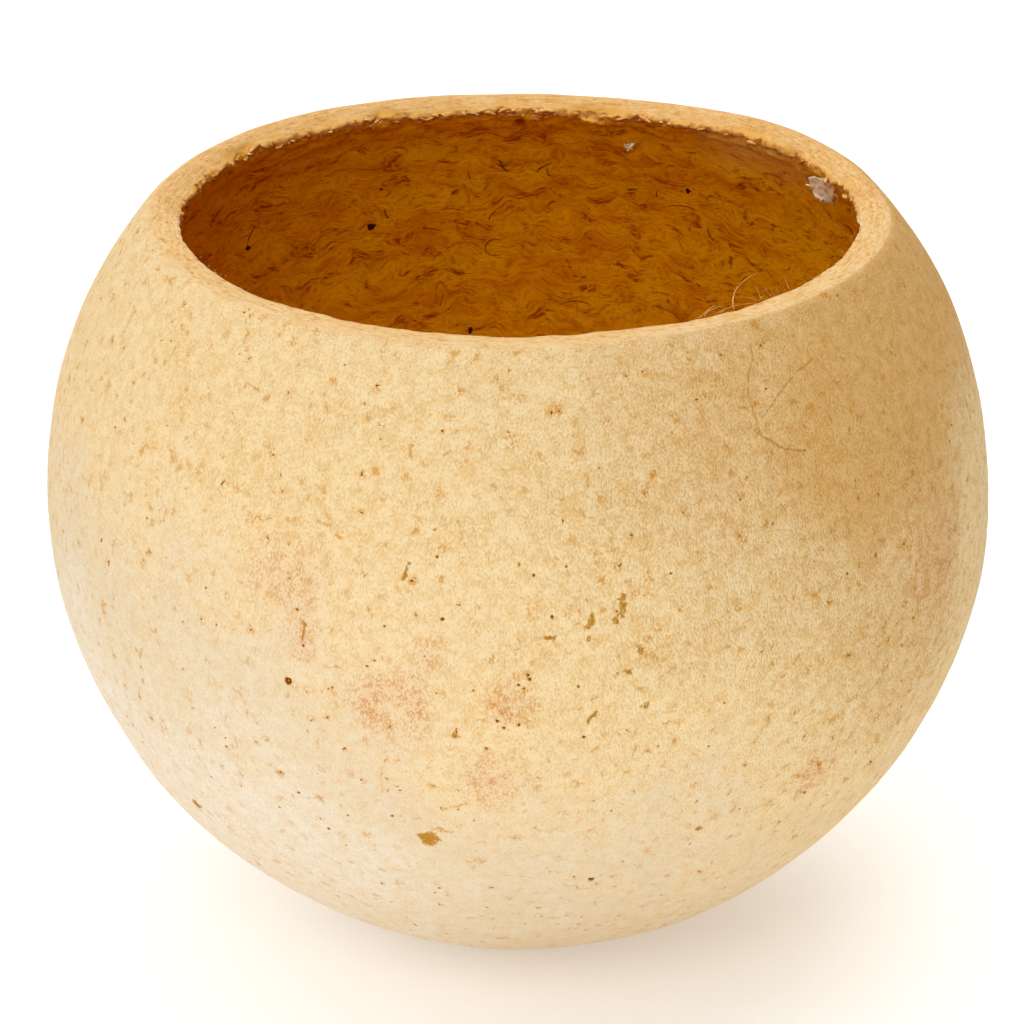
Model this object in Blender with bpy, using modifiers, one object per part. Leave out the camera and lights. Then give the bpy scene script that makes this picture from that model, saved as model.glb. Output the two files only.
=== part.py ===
"""Dried bell cup pod, at its real size.

The pod is the hard, woody rind of one round fruit. It was cut level across the top, emptied and
dried. It is a single piece: an open bowl with a nearly even wall, which stands on the flat of its
blossom end.

Units are metres, +Z is up, and the front of the pod is towards -Y. The origin is the middle of
the foot, on the surface that the pod stands on. The pod's axis is Z.
"""

import math

import bmesh
import bpy
from mathutils import Vector, noise

# Driving dimensions of the rind
BODY_RADIUS = 0.0350
WALL = 0.0021
FLOOR_THICKENING = 0.0008
FOOT_RADIUS = 0.0055
SCAR_RADIUS = 0.0024
SCAR_DEPTH = 0.0006

# Angles down from the axis, at the centre of the body
CUT_ANGLE = math.radians(52.8)
DRAW_IN_START = math.radians(102.9)
FLOOR_START = math.radians(150.0)

# Share of the body's radius that the shoulder has lost where it meets the cut
SHOULDER_DRAW_IN = 0.0149

# Radii that round the two edges of the cut
OUTER_EDGE_RADIUS = 0.0014
INNER_EDGE_RADIUS = 0.0002

# Unevenness of the dried rind: height of each form, and its size along the surface. The cut also
# rises at the pod's back left and back right.
SWELL_HEIGHT = 0.00022
SWELL_SIZE = 0.0150
LUMP_HEIGHT = 0.00032
LUMP_SIZE = 0.0065
CUT_WAVE_HEIGHT = 0.00012
CUT_WAVE_SIZE = 0.0110
CORNER_RISE = 0.00028
CHIP_DEPTH = 0.00110
CHIP_SIZE = 0.0034
CHIP_REACH = 0.0017

# How far the inner edge of the cut lies below the outer edge, all round and then at the back
CUT_DIP = 0.00015
BACK_DIP = 0.00040

# Heights over which the unevenness fades out: above the foot, and below the cut
FOOT_FADE = 0.0060
CUT_FADE = 0.0045

# Number of faces round the axis and along each stretch of the profile
TURN_STEPS = 90
SKIN_STEPS = 21
INSIDE_STEPS = 20
OUTER_EDGE_STEPS = 4
INNER_EDGE_STEPS = 2
SCAR_STEPS = 4

# Points on the axis closer together than this are one point
MERGE_DISTANCE = 0.000005

# Where the noise behind each kind of unevenness is read, so that no two kinds are alike
SWELL_OFFSET = Vector((3.1, 8.4, 1.7))
LUMP_OFFSET = Vector((12.6, 4.9, 7.3))
WAVE_OFFSET = Vector((5.2, 15.8, 9.9))
CHIP_OFFSET = Vector((21.4, 2.3, 6.6))

CENTRE_HEIGHT = math.sqrt(BODY_RADIUS ** 2 - FOOT_RADIUS ** 2)
CENTRE = Vector((0.0, 0.0, CENTRE_HEIGHT))
FOOT_ANGLE = math.pi - math.asin(FOOT_RADIUS / BODY_RADIUS)


def ease(value, low, high):
    """A smooth step: 0 up to low, and 1 from high on."""
    share = min(1.0, max(0.0, (value - low) / (high - low)))
    return share * share * (3.0 - 2.0 * share)


def skin_distance(angle):
    """Distance from the body's centre to the skin, at an angle down from the axis."""
    rise = max(0.0, (DRAW_IN_START - angle) / (DRAW_IN_START - CUT_ANGLE))
    return BODY_RADIUS * (1.0 - SHOULDER_DRAW_IN * rise ** 2)


def inside_distance(angle):
    """Distance from the body's centre to the inner wall, which is thickest over the foot."""
    return skin_distance(angle) - WALL - FLOOR_THICKENING * ease(angle, FLOOR_START, math.pi)


def profile_point(distance, angle):
    """A point of the profile, given from the body's centre."""
    return Vector((distance * math.sin(angle), 0.0, CENTRE_HEIGHT + distance * math.cos(angle)))


CUT_OUTER_EDGE = profile_point(skin_distance(CUT_ANGLE), CUT_ANGLE)
CUT_HEIGHT = CUT_OUTER_EDGE.z


def inner_cut_angle():
    """The angle at which the inner wall comes up to the height of the cut."""
    low = CUT_ANGLE / 2.0
    high = CUT_ANGLE
    while high - low > 1e-9:
        middle = (low + high) / 2.0
        if inside_distance(middle) * math.cos(middle) > CUT_HEIGHT - CENTRE_HEIGHT:
            low = middle
        else:
            high = middle
    return high


CUT_INNER_ANGLE = inner_cut_angle()
CUT_INNER_EDGE = profile_point(inside_distance(CUT_INNER_ANGLE), CUT_INNER_ANGLE)


def rounded_corner(before, corner, after, radius, steps):
    """Points of the arc of the given radius that rounds a corner, from before to after."""
    towards_before = (before - corner).normalized()
    towards_after = (after - corner).normalized()
    half_angle = towards_before.angle(towards_after) / 2.0
    middle_line = (towards_before + towards_after).normalized()
    arc_centre = corner + middle_line * (radius / math.sin(half_angle))
    start = corner + towards_before * (radius / math.tan(half_angle)) - arc_centre
    end = corner + towards_after * (radius / math.tan(half_angle)) - arc_centre
    spokes = [start.normalized().slerp(end.normalized(), step / steps) for step in range(steps + 1)]
    return [arc_centre + spoke * radius for spoke in spokes]


def inside_stretch():
    """The inner wall, from the middle of the floor up to just below the cut."""
    turned = math.pi - CUT_INNER_ANGLE
    angles = [math.pi - turned * step / INSIDE_STEPS for step in range(INSIDE_STEPS)]
    return [profile_point(inside_distance(angle), angle) for angle in angles]


def skin_stretch():
    """The skin, from just below the cut down to the edge of the foot."""
    turned = FOOT_ANGLE - CUT_ANGLE
    angles = [CUT_ANGLE + turned * step / SKIN_STEPS for step in range(1, SKIN_STEPS + 1)]
    return [profile_point(skin_distance(angle), angle) for angle in angles]


def foot_stretch():
    """The scar under the pod: a round dent in the flat of the foot, out to its middle."""
    reaches = [SCAR_RADIUS * (1.0 - step / SCAR_STEPS) for step in range(SCAR_STEPS + 1)]
    dents = [SCAR_DEPTH * (1.0 + math.cos(math.pi * reach / SCAR_RADIUS)) / 2.0 for reach in reaches]
    return [Vector((reach, 0.0, dent)) for reach, dent in zip(reaches, dents)]


def pod_profile():
    """Half of the pod's section: up the inside, over the cut, down the skin and under the foot."""
    inside = inside_stretch()
    skin = skin_stretch()
    inner_edge = rounded_corner(
        inside[-1], CUT_INNER_EDGE, CUT_OUTER_EDGE, INNER_EDGE_RADIUS, INNER_EDGE_STEPS)
    outer_edge = rounded_corner(
        CUT_INNER_EDGE, CUT_OUTER_EDGE, skin[0], OUTER_EDGE_RADIUS, OUTER_EDGE_STEPS)
    middle_of_cut = (inner_edge[-1] + outer_edge[0]) / 2.0
    return inside + inner_edge + [middle_of_cut] + outer_edge + skin + foot_stretch()


def turned_mesh(name, profile):
    """A closed mesh: the profile turned once round the axis with a Screw modifier."""
    wire = bpy.data.meshes.new(name + "_profile")
    edges = [(index, index + 1) for index in range(len(profile) - 1)]
    wire.from_pydata(profile, edges, [])
    holder = bpy.data.objects.new(name + "_profile", wire)
    bpy.context.scene.collection.objects.link(holder)
    screw = holder.modifiers.new("turn", "SCREW")
    screw.axis = "Z"
    screw.angle = math.tau
    screw.steps = TURN_STEPS
    screw.render_steps = TURN_STEPS
    screw.use_merge_vertices = True
    screw.merge_threshold = MERGE_DISTANCE
    graph = bpy.context.evaluated_depsgraph_get()
    mesh = bpy.data.meshes.new_from_object(holder.evaluated_get(graph))
    mesh.name = name
    bpy.data.objects.remove(holder)
    bpy.data.meshes.remove(wire)
    return mesh


def rough(point, size, offset):
    """Noise of the given size along the surface, between about -1 and 1."""
    return noise.noise(point / size + offset) + 0.5 * noise.noise(point * 2.2 / size - offset)


def inner_share(point):
    """0 on the skin and 1 on the inner wall, smooth across the cut between them."""
    from_centre = point - CENTRE
    angle = math.atan2(math.hypot(point.x, point.y), from_centre.z)
    depth = skin_distance(angle) - from_centre.length
    return ease(depth / WALL, 0.3, 0.95)


def back_share(point):
    """0 at the front of the pod and 1 at the back, where the cut's inner edge is torn."""
    reach = math.hypot(point.x, point.y)
    return ease(point.y / reach, -0.15, 0.35) if reach else 0.0


def uneven_wall(point):
    """A point moved in or out from the body's centre by the swell of the skin or inner wall."""
    share = inner_share(point)
    swell = SWELL_HEIGHT * rough(point, SWELL_SIZE, SWELL_OFFSET) * ease(point.z, 0.0, FOOT_FADE)
    lump = LUMP_HEIGHT * rough(point, LUMP_SIZE, LUMP_OFFSET)
    return point + (point - CENTRE).normalized() * (swell * (1.0 - share) + lump * share)


def waved_cut(point):
    """A point near the cut moved up or down by the cut's slope, its two back corners and waves."""
    near = ease(point.z, CUT_HEIGHT - CUT_FADE, CUT_HEIGHT)
    back = back_share(point)
    dip = (CUT_DIP + BACK_DIP * back) * inner_share(point)
    corner = CORNER_RISE * back * math.sin(2.0 * math.atan2(point.y, point.x)) ** 2
    wave = CUT_WAVE_HEIGHT * rough(point, CUT_WAVE_SIZE, WAVE_OFFSET)
    return point + Vector((0.0, 0.0, (corner + wave - dip) * near))


def chipped_edge(point):
    """A point near the cut's inner edge moved back and down where the edge is broken away."""
    reach = math.hypot(point.x, point.y)
    gap = math.hypot(reach - CUT_INNER_EDGE.x, point.z - CUT_INNER_EDGE.z)
    near = ease(CHIP_REACH - gap, 0.0, CHIP_REACH)
    if near == 0.0:
        return point
    broken = max(0.0, rough(point, CHIP_SIZE, CHIP_OFFSET)) * (0.2 + 0.8 * back_share(point))
    chip = CHIP_DEPTH * broken * near
    outward = Vector((point.x, point.y, 0.0)) / reach
    return point + outward * chip - Vector((0.0, 0.0, chip / 2.0))


def weather(mesh):
    """Give the turned mesh the uneven wall, waved cut and chipped edge of a dried rind."""
    shell = bmesh.new()
    shell.from_mesh(mesh)
    for vertex in shell.verts:
        turned_place = vertex.co.copy()
        wall_shift = uneven_wall(turned_place) - turned_place
        cut_shift = waved_cut(turned_place) - turned_place
        chip_shift = chipped_edge(turned_place) - turned_place
        vertex.co = turned_place + wall_shift + cut_shift + chip_shift
    bmesh.ops.recalc_face_normals(shell, faces=shell.faces)
    shell.to_mesh(mesh)
    shell.free()


def finish(name, colour, roughness):
    """A plain finish with one colour and one roughness."""
    material = bpy.data.materials.new(name)
    material.use_nodes = True
    shader = material.node_tree.nodes["Principled BSDF"]
    shader.inputs["Base Color"].default_value = (*colour, 1.0)
    shader.inputs["Roughness"].default_value = roughness
    shader.inputs["Metallic"].default_value = 0.0
    return material


def paint(mesh):
    """Give the skin, the pale cut and the brown inside a finish each."""
    mesh.materials.append(finish("rind_skin", (0.86, 0.60, 0.31), 0.70))
    mesh.materials.append(finish("cut_edge", (0.80, 0.50, 0.23), 0.85))
    mesh.materials.append(finish("inside_felt", (0.30, 0.075, 0.003), 0.60))
    skin_slot, cut_slot, inside_slot = range(3)
    lowest_cut = CUT_HEIGHT - BACK_DIP - CHIP_DEPTH
    for face in mesh.polygons:
        face.material_index = inside_slot if inner_share(face.center) > 0.5 else skin_slot
        if face.center.z > lowest_cut and face.normal.z > 0.8:
            face.material_index = cut_slot


def remove_everything():
    """Clear the scene that the script starts from."""
    for item in list(bpy.data.objects):
        bpy.data.objects.remove(item)


def build_pod():
    """Make the pod's shell and put it in its collection."""
    collection = bpy.data.collections.new("dried_bell_cup_pod")
    bpy.context.scene.collection.children.link(collection)
    mesh = turned_mesh("pod_shell", pod_profile())
    weather(mesh)
    paint(mesh)
    mesh.shade_smooth()
    mesh.set_sharp_from_angle(angle=math.radians(50.0))
    shell = bpy.data.objects.new("pod_shell", mesh)
    collection.objects.link(shell)
    return shell


remove_everything()
build_pod()
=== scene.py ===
"""Looks of the dried bell cup pod: fine rind, torn cut edge, felted inside, and a plain studio.

The pod is one natural piece, so one closed mesh stands for it. It keeps the form of the solid model
and adds the relief that the solid leaves out. Small remains of the rind lie on it: torn fibres,
crumbs along the broken edge, dark bristles inside and a scrap of white pith.

Units are metres, +Z is up, and the front of the pod is towards -Y. Azimuth runs round the axis from
+X towards +Y. Tilt is the angle down from the axis, at the centre of the body.
"""

from __future__ import annotations

import logging
import math
import random
from collections.abc import Callable
from dataclasses import dataclass, field
from enum import Enum, IntEnum

import bmesh
import bpy
from bpy.types import Material, Mesh, NodeSocket, Object, ShaderNode
from mathutils import Matrix, Vector, noise
from mathutils.kdtree import KDTree


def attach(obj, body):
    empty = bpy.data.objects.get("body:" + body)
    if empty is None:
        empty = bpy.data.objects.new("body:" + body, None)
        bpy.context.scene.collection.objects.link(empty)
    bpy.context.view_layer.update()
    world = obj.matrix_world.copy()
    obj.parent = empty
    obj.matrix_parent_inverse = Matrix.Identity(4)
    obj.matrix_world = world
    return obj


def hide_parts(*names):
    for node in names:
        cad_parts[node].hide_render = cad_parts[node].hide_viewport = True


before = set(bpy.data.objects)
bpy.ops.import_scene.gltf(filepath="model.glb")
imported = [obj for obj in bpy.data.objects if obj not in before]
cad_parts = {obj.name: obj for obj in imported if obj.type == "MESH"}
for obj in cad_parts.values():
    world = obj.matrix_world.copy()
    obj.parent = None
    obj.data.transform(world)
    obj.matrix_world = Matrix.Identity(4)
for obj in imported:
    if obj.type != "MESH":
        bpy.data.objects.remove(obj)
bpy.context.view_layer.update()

BODY = "root"
SHELL_NODE = "pod_shell"
MM = 0.001

log = logging.getLogger("pod")

Colour = tuple[float, float, float, float]


def srgb(red: int, green: int, blue: int) -> Colour:
    """Turn a colour in 0 to 255 screen values into the linear values that a shader reads.

    Args:
        red: Red, from 0 to 255.
        green: Green, from 0 to 255.
        blue: Blue, from 0 to 255.

    Returns:
        The linear colour, with full opacity.
    """

    def linear(value: int) -> float:
        """Turn one screen value into a linear one."""
        share = value / 255.0
        return share / 12.92 if share <= 0.04045 else ((share + 0.055) / 1.055) ** 2.4

    return linear(red), linear(green), linear(blue), 1.0


def ease(value: float, low: float, high: float) -> float:
    """Smooth step of value: 0 up to low, and 1 from high on."""
    share = min(1.0, max(0.0, (value - low) / (high - low)))
    return share * share * (3.0 - 2.0 * share)


def rough(point: Vector, size: float, offset: Vector) -> float:
    """Noise of the given size, between about -1 and 1; the offset picks a part of its field."""
    return noise.noise(point / size + offset) + 0.5 * noise.noise(point * 2.2 / size - offset)


def ridged(point: Vector, offset: Vector) -> float:
    """Noise with sharp crests, from about -1 in the hollows to 1 on the crests."""
    return 1.0 - 4.0 * abs(noise.noise(point + offset))


class Zone(Enum):
    """The two walls of the turned form that points are set on."""

    INSIDE = "inside"
    SKIN = "skin"


class Slot(IntEnum):
    """The material slots of the rind's faces."""

    INSIDE = 0
    RIM = 1
    SKIN = 2


class Flaw(Enum):
    """The kinds of small flaw in the skin."""

    PINHOLE = "pinhole"
    PIT = "pit"
    SCAB = "scab"
    STREAK = "streak"
    CRACK = "crack"


@dataclass(frozen=True)
class Mark:
    """One flaw in the skin.

    Attributes:
        kind: What the flaw is.
        azimuth: Its azimuth in degrees.
        tilt: Its tilt in degrees.
        radius: Half of its width in metres.
    """

    kind: Flaw
    azimuth: float
    tilt: float
    radius: float


@dataclass(frozen=True)
class Trail:
    """A flaw that runs along the skin, such as a crack.

    Attributes:
        kind: What the flaw is.
        places: The azimuth and tilt, in degrees, of each of its corners.
        radius: Half of its width in metres.
    """

    kind: Flaw
    places: tuple[tuple[float, float], ...]
    radius: float


@dataclass(frozen=True)
class RindForm:
    """The form of the rind, worked out from the solid model's driving dimensions.

    Lengths are in metres and angles in radians down from the axis. Each offset picks its own part of
    the noise's field, the same as in the solid model.
    """

    body_radius: float = 0.0350
    wall: float = 0.0021
    floor_thickening: float = 0.0008
    foot_radius: float = 0.0055
    scar_radius: float = 0.0024
    scar_depth: float = 0.0006
    cut_angle: float = math.radians(52.8)
    draw_in_start: float = math.radians(102.9)
    floor_start: float = math.radians(150.0)
    draw_in: float = 0.0149
    outer_edge_radius: float = 0.0014
    inner_edge_radius: float = 0.0002
    swell_height: float = 0.00022
    swell_size: float = 0.0150
    lump_height: float = 0.00032
    lump_size: float = 0.0065
    cut_wave_height: float = 0.00012
    cut_wave_size: float = 0.0110
    corner_rise: float = 0.00028
    chip_depth: float = 0.00110
    chip_size: float = 0.0034
    chip_reach: float = 0.0017
    cut_dip: float = 0.00015
    back_dip: float = 0.00040
    foot_fade: float = 0.0060
    cut_fade: float = 0.0045
    swell_offset: Vector = field(default_factory=lambda: Vector((3.1, 8.4, 1.7)))
    lump_offset: Vector = field(default_factory=lambda: Vector((12.6, 4.9, 7.3)))
    wave_offset: Vector = field(default_factory=lambda: Vector((5.2, 15.8, 9.9)))
    chip_offset: Vector = field(default_factory=lambda: Vector((21.4, 2.3, 6.6)))

    @property
    def centre(self) -> Vector:
        """The centre of the body's sphere."""
        return Vector((0.0, 0.0, math.sqrt(self.body_radius ** 2 - self.foot_radius ** 2)))

    @property
    def foot_angle(self) -> float:
        """The angle from the axis at which the skin meets the flat foot."""
        return math.pi - math.asin(self.foot_radius / self.body_radius)

    def skin_distance(self, angle: float) -> float:
        """Distance from the body's centre to the skin, at an angle down from the axis."""
        rise = max(0.0, (self.draw_in_start - angle) / (self.draw_in_start - self.cut_angle))
        return self.body_radius * (1.0 - self.draw_in * rise ** 2)

    def inside_distance(self, angle: float) -> float:
        """Distance from the body's centre to the inner wall, at an angle down from the axis."""
        thicker = self.floor_thickening * ease(angle, self.floor_start, math.pi)
        return self.skin_distance(angle) - self.wall - thicker

    def section_point(self, distance: float, angle: float) -> Vector:
        """A point of the section at +X, given from the body's centre."""
        return self.centre + Vector((distance * math.sin(angle), 0.0, distance * math.cos(angle)))

    @property
    def cut_outer_edge(self) -> Vector:
        """Where the skin and the cut would meet if the edge were sharp."""
        return self.section_point(self.skin_distance(self.cut_angle), self.cut_angle)

    @property
    def cut_inner_angle(self) -> float:
        """The angle at which the inner wall comes up to the height of the cut.

        Returns:
            The angle in radians, found by halving.
        """
        low = self.cut_angle / 2.0
        high = self.cut_angle
        cut_rise = self.cut_outer_edge.z - self.centre.z
        while high - low > 1e-9:
            middle = (low + high) / 2.0
            if self.inside_distance(middle) * math.cos(middle) > cut_rise:
                low = middle
            else:
                high = middle
        return high

    @property
    def cut_inner_edge(self) -> Vector:
        """Where the inner wall and the cut would meet if the edge were sharp."""
        angle = self.cut_inner_angle
        return self.section_point(self.inside_distance(angle), angle)


class RindSurface:
    """Places points on the weathered rind, from the turned form that it grew out of."""

    TORN_REACH = 1.7 * MM
    TORN_HEIGHT = 0.34 * MM
    RIDGE_HEIGHT = 0.085 * MM
    SKIN_RELIEF = 0.022 * MM

    def __init__(self, form: RindForm) -> None:
        """Keep the form and the places on it that every point is set against.

        Args:
            form: The rind's form.
        """
        self.form = form
        self.centre = form.centre
        self.cut_height = form.cut_outer_edge.z
        self.inner_angle = form.cut_inner_angle
        self.inner_edge = form.cut_inner_edge
        self.cut_width = form.cut_outer_edge.x - self.inner_edge.x

    def turned(self, azimuth: float, tilt: float, zone: Zone) -> Vector:
        """A point of the turned form.

        Args:
            azimuth: Azimuth in degrees.
            tilt: Tilt in degrees.
            zone: INSIDE for the inner wall, or SKIN.

        Returns:
            The point, in the pod's frame.
        """
        angle = math.radians(tilt)
        form = self.form
        distance = form.inside_distance(angle) if zone is Zone.INSIDE else form.skin_distance(angle)
        point = form.section_point(distance, angle)
        point.rotate(Matrix.Rotation(math.radians(azimuth), 3, "Z"))
        return point

    def depth_share(self, point: Vector) -> float:
        """How deep in the wall a turned point lies: 0 on the skin and 1 on the inner wall.

        Args:
            point: The turned point.

        Returns:
            The share of the wall.
        """
        from_centre = point - self.centre
        angle = math.atan2(math.hypot(point.x, point.y), from_centre.z)
        return (self.form.skin_distance(angle) - from_centre.length) / self.form.wall

    def run(self, point: Vector) -> float:
        """Distance along the section from the cut's inner edge, and below 0 on the inner wall.

        Args:
            point: The turned point.

        Returns:
            The distance in metres.
        """
        from_centre = point - self.centre
        reach = math.hypot(point.x, point.y)
        angle = math.atan2(reach, from_centre.z)
        if point.z > self.cut_height - 0.01 * MM:
            return reach - self.inner_edge.x
        if self.depth_share(point) > 0.5:
            return (self.inner_angle - angle) * from_centre.length
        past_edge = math.hypot(reach - self.inner_edge.x - self.cut_width, point.z - self.cut_height)
        return self.cut_width + math.copysign(past_edge, angle - self.form.cut_angle)

    def pale_run(self, point: Vector) -> float:
        """The run as the finish reads it: the pale wall shows lower down where the edge is torn.

        Args:
            point: The turned point.

        Returns:
            The distance in metres.
        """
        run = self.run(point)
        if run > 0.0:
            return run
        ragged = 0.45 * MM + 0.55 * MM * rough(point, 1.5 * MM, Vector((2.7, 4.1, 8.8)))
        return run + max(-0.1 * MM, ragged) * self.back_share(point) * ease(-run, 0.0, 0.3 * MM)

    def back_share(self, point: Vector) -> float:
        """0 at the front of the pod and 1 at the back, where the cut's inner edge is torn."""
        reach = math.hypot(point.x, point.y)
        return ease(point.y / reach, -0.15, 0.35) if reach else 0.0

    def weather_shift(self, point: Vector) -> Vector:
        """The shift of a turned point by the same swells, waves and chips as the solid model's.

        Args:
            point: The turned point.

        Returns:
            The shift in metres.
        """
        form = self.form
        share = ease(self.depth_share(point), 0.3, 0.95)
        back = self.back_share(point)
        swell = form.swell_height * rough(point, form.swell_size, form.swell_offset)
        swell *= ease(point.z, 0.0, form.foot_fade)
        lump = form.lump_height * rough(point, form.lump_size, form.lump_offset)
        outward = (point - self.centre).normalized()
        shift = outward * (swell * (1.0 - share) + lump * share)
        near_cut = ease(point.z, self.cut_height - form.cut_fade, self.cut_height)
        corner = form.corner_rise * back * math.sin(2.0 * math.atan2(point.y, point.x)) ** 2
        wave = form.cut_wave_height * rough(point, form.cut_wave_size, form.wave_offset)
        dip = (form.cut_dip + form.back_dip * back) * share
        shift.z += (corner + wave - dip) * near_cut
        return shift + self.chip_shift(point, back)

    def chip_shift(self, point: Vector, back: float) -> Vector:
        """The shift of a turned point near the cut's inner edge where the edge is broken away.

        Args:
            point: The turned point.
            back: How far at the back of the pod it lies, from 0 to 1.

        Returns:
            The shift in metres.
        """
        form = self.form
        reach = math.hypot(point.x, point.y)
        gap = math.hypot(reach - self.inner_edge.x, point.z - self.inner_edge.z)
        near = ease(form.chip_reach - gap, 0.0, form.chip_reach)
        if near == 0.0:
            return Vector()
        broken = max(0.0, rough(point, form.chip_size, form.chip_offset)) * (0.2 + 0.8 * back)
        chip = form.chip_depth * broken / (1.0 + 0.8 * broken) * near
        outward = Vector((point.x, point.y, 0.0)) / reach
        return outward * chip - Vector((0.0, 0.0, chip / 2.0))

    def relief_shift(self, point: Vector) -> Vector:
        """The shift of a turned point by the relief that is finer than the solid model's.

        Args:
            point: The turned point.

        Returns:
            The shift in metres.
        """
        share = ease(self.depth_share(point), 0.3, 0.95)
        outward = (point - self.centre).normalized()
        skin = -self.SKIN_RELIEF * (1.0 + rough(point, 2.6 * MM, Vector((7.7, 1.2, 3.4))))
        skin *= ease(point.z, 0.3 * MM, self.form.foot_fade)
        layers = Vector((point.x / 3.4, point.y / 3.4, point.z / 1.5)) / MM
        ridges = self.RIDGE_HEIGHT * ridged(layers, Vector((2.9, 6.1, 4.4)))
        felt = 0.5 * self.RIDGE_HEIGHT * rough(point, 1.7 * MM, Vector((9.2, 3.8, 5.5)))
        return outward * (skin * (1.0 - share) + (ridges + felt) * share) + self.torn_shift(point)

    def torn_shift(self, point: Vector) -> Vector:
        """The ragged relief of the torn inner edge, strongest at the back.

        Args:
            point: The turned point.

        Returns:
            The shift in metres.
        """
        run = self.run(point)
        near = ease(self.TORN_REACH - abs(run + 0.60 * MM), 0.0, 0.8 * self.TORN_REACH)
        if near == 0.0:
            return Vector()
        strength = self.TORN_HEIGHT * near * (0.10 + 0.90 * self.back_share(point))
        inward = -Vector((point.x, point.y, 0.0)).normalized()
        across = rough(point, 0.95 * MM, Vector((4.4, 9.1, 2.2)))
        along = rough(point, 0.80 * MM, Vector((8.3, 5.6, 7.1)))
        return inward * (strength * across) + Vector((0.0, 0.0, strength * 0.8 * (along - 0.4)))

    def place(self, point: Vector) -> Vector:
        """Where a turned point ends up on the finished rind, without the skin's small flaws."""
        return point + self.weather_shift(point) + self.relief_shift(point)


def graded(start: float, end: float, steps: int, bias: float) -> list[float]:
    """Values from start to end that crowd together towards end, without end itself."""
    return [start + (end - start) * (1.0 - (1.0 - step / steps) ** bias) for step in range(steps)]


def rounded_corner(before: Vector, corner: Vector, after: Vector, radius: float, steps: int) -> list[Vector]:
    """Points of the arc of the given radius that rounds a corner, from before to after.

    Args:
        before: A point on the side that the arc starts from.
        corner: The sharp corner.
        after: A point on the side that the arc ends on.
        radius: The arc's radius.
        steps: How many pieces the arc has.

    Returns:
        The arc's points, in order.
    """
    towards_before = (before - corner).normalized()
    towards_after = (after - corner).normalized()
    half_angle = towards_before.angle(towards_after) / 2.0
    middle_line = (towards_before + towards_after).normalized()
    arc_centre = corner + middle_line * (radius / math.sin(half_angle))
    start = corner + towards_before * (radius / math.tan(half_angle)) - arc_centre
    end = corner + towards_after * (radius / math.tan(half_angle)) - arc_centre
    spokes = [start.normalized().slerp(end.normalized(), step / steps) for step in range(steps + 1)]
    return [arc_centre + spoke * radius for spoke in spokes]


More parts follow.
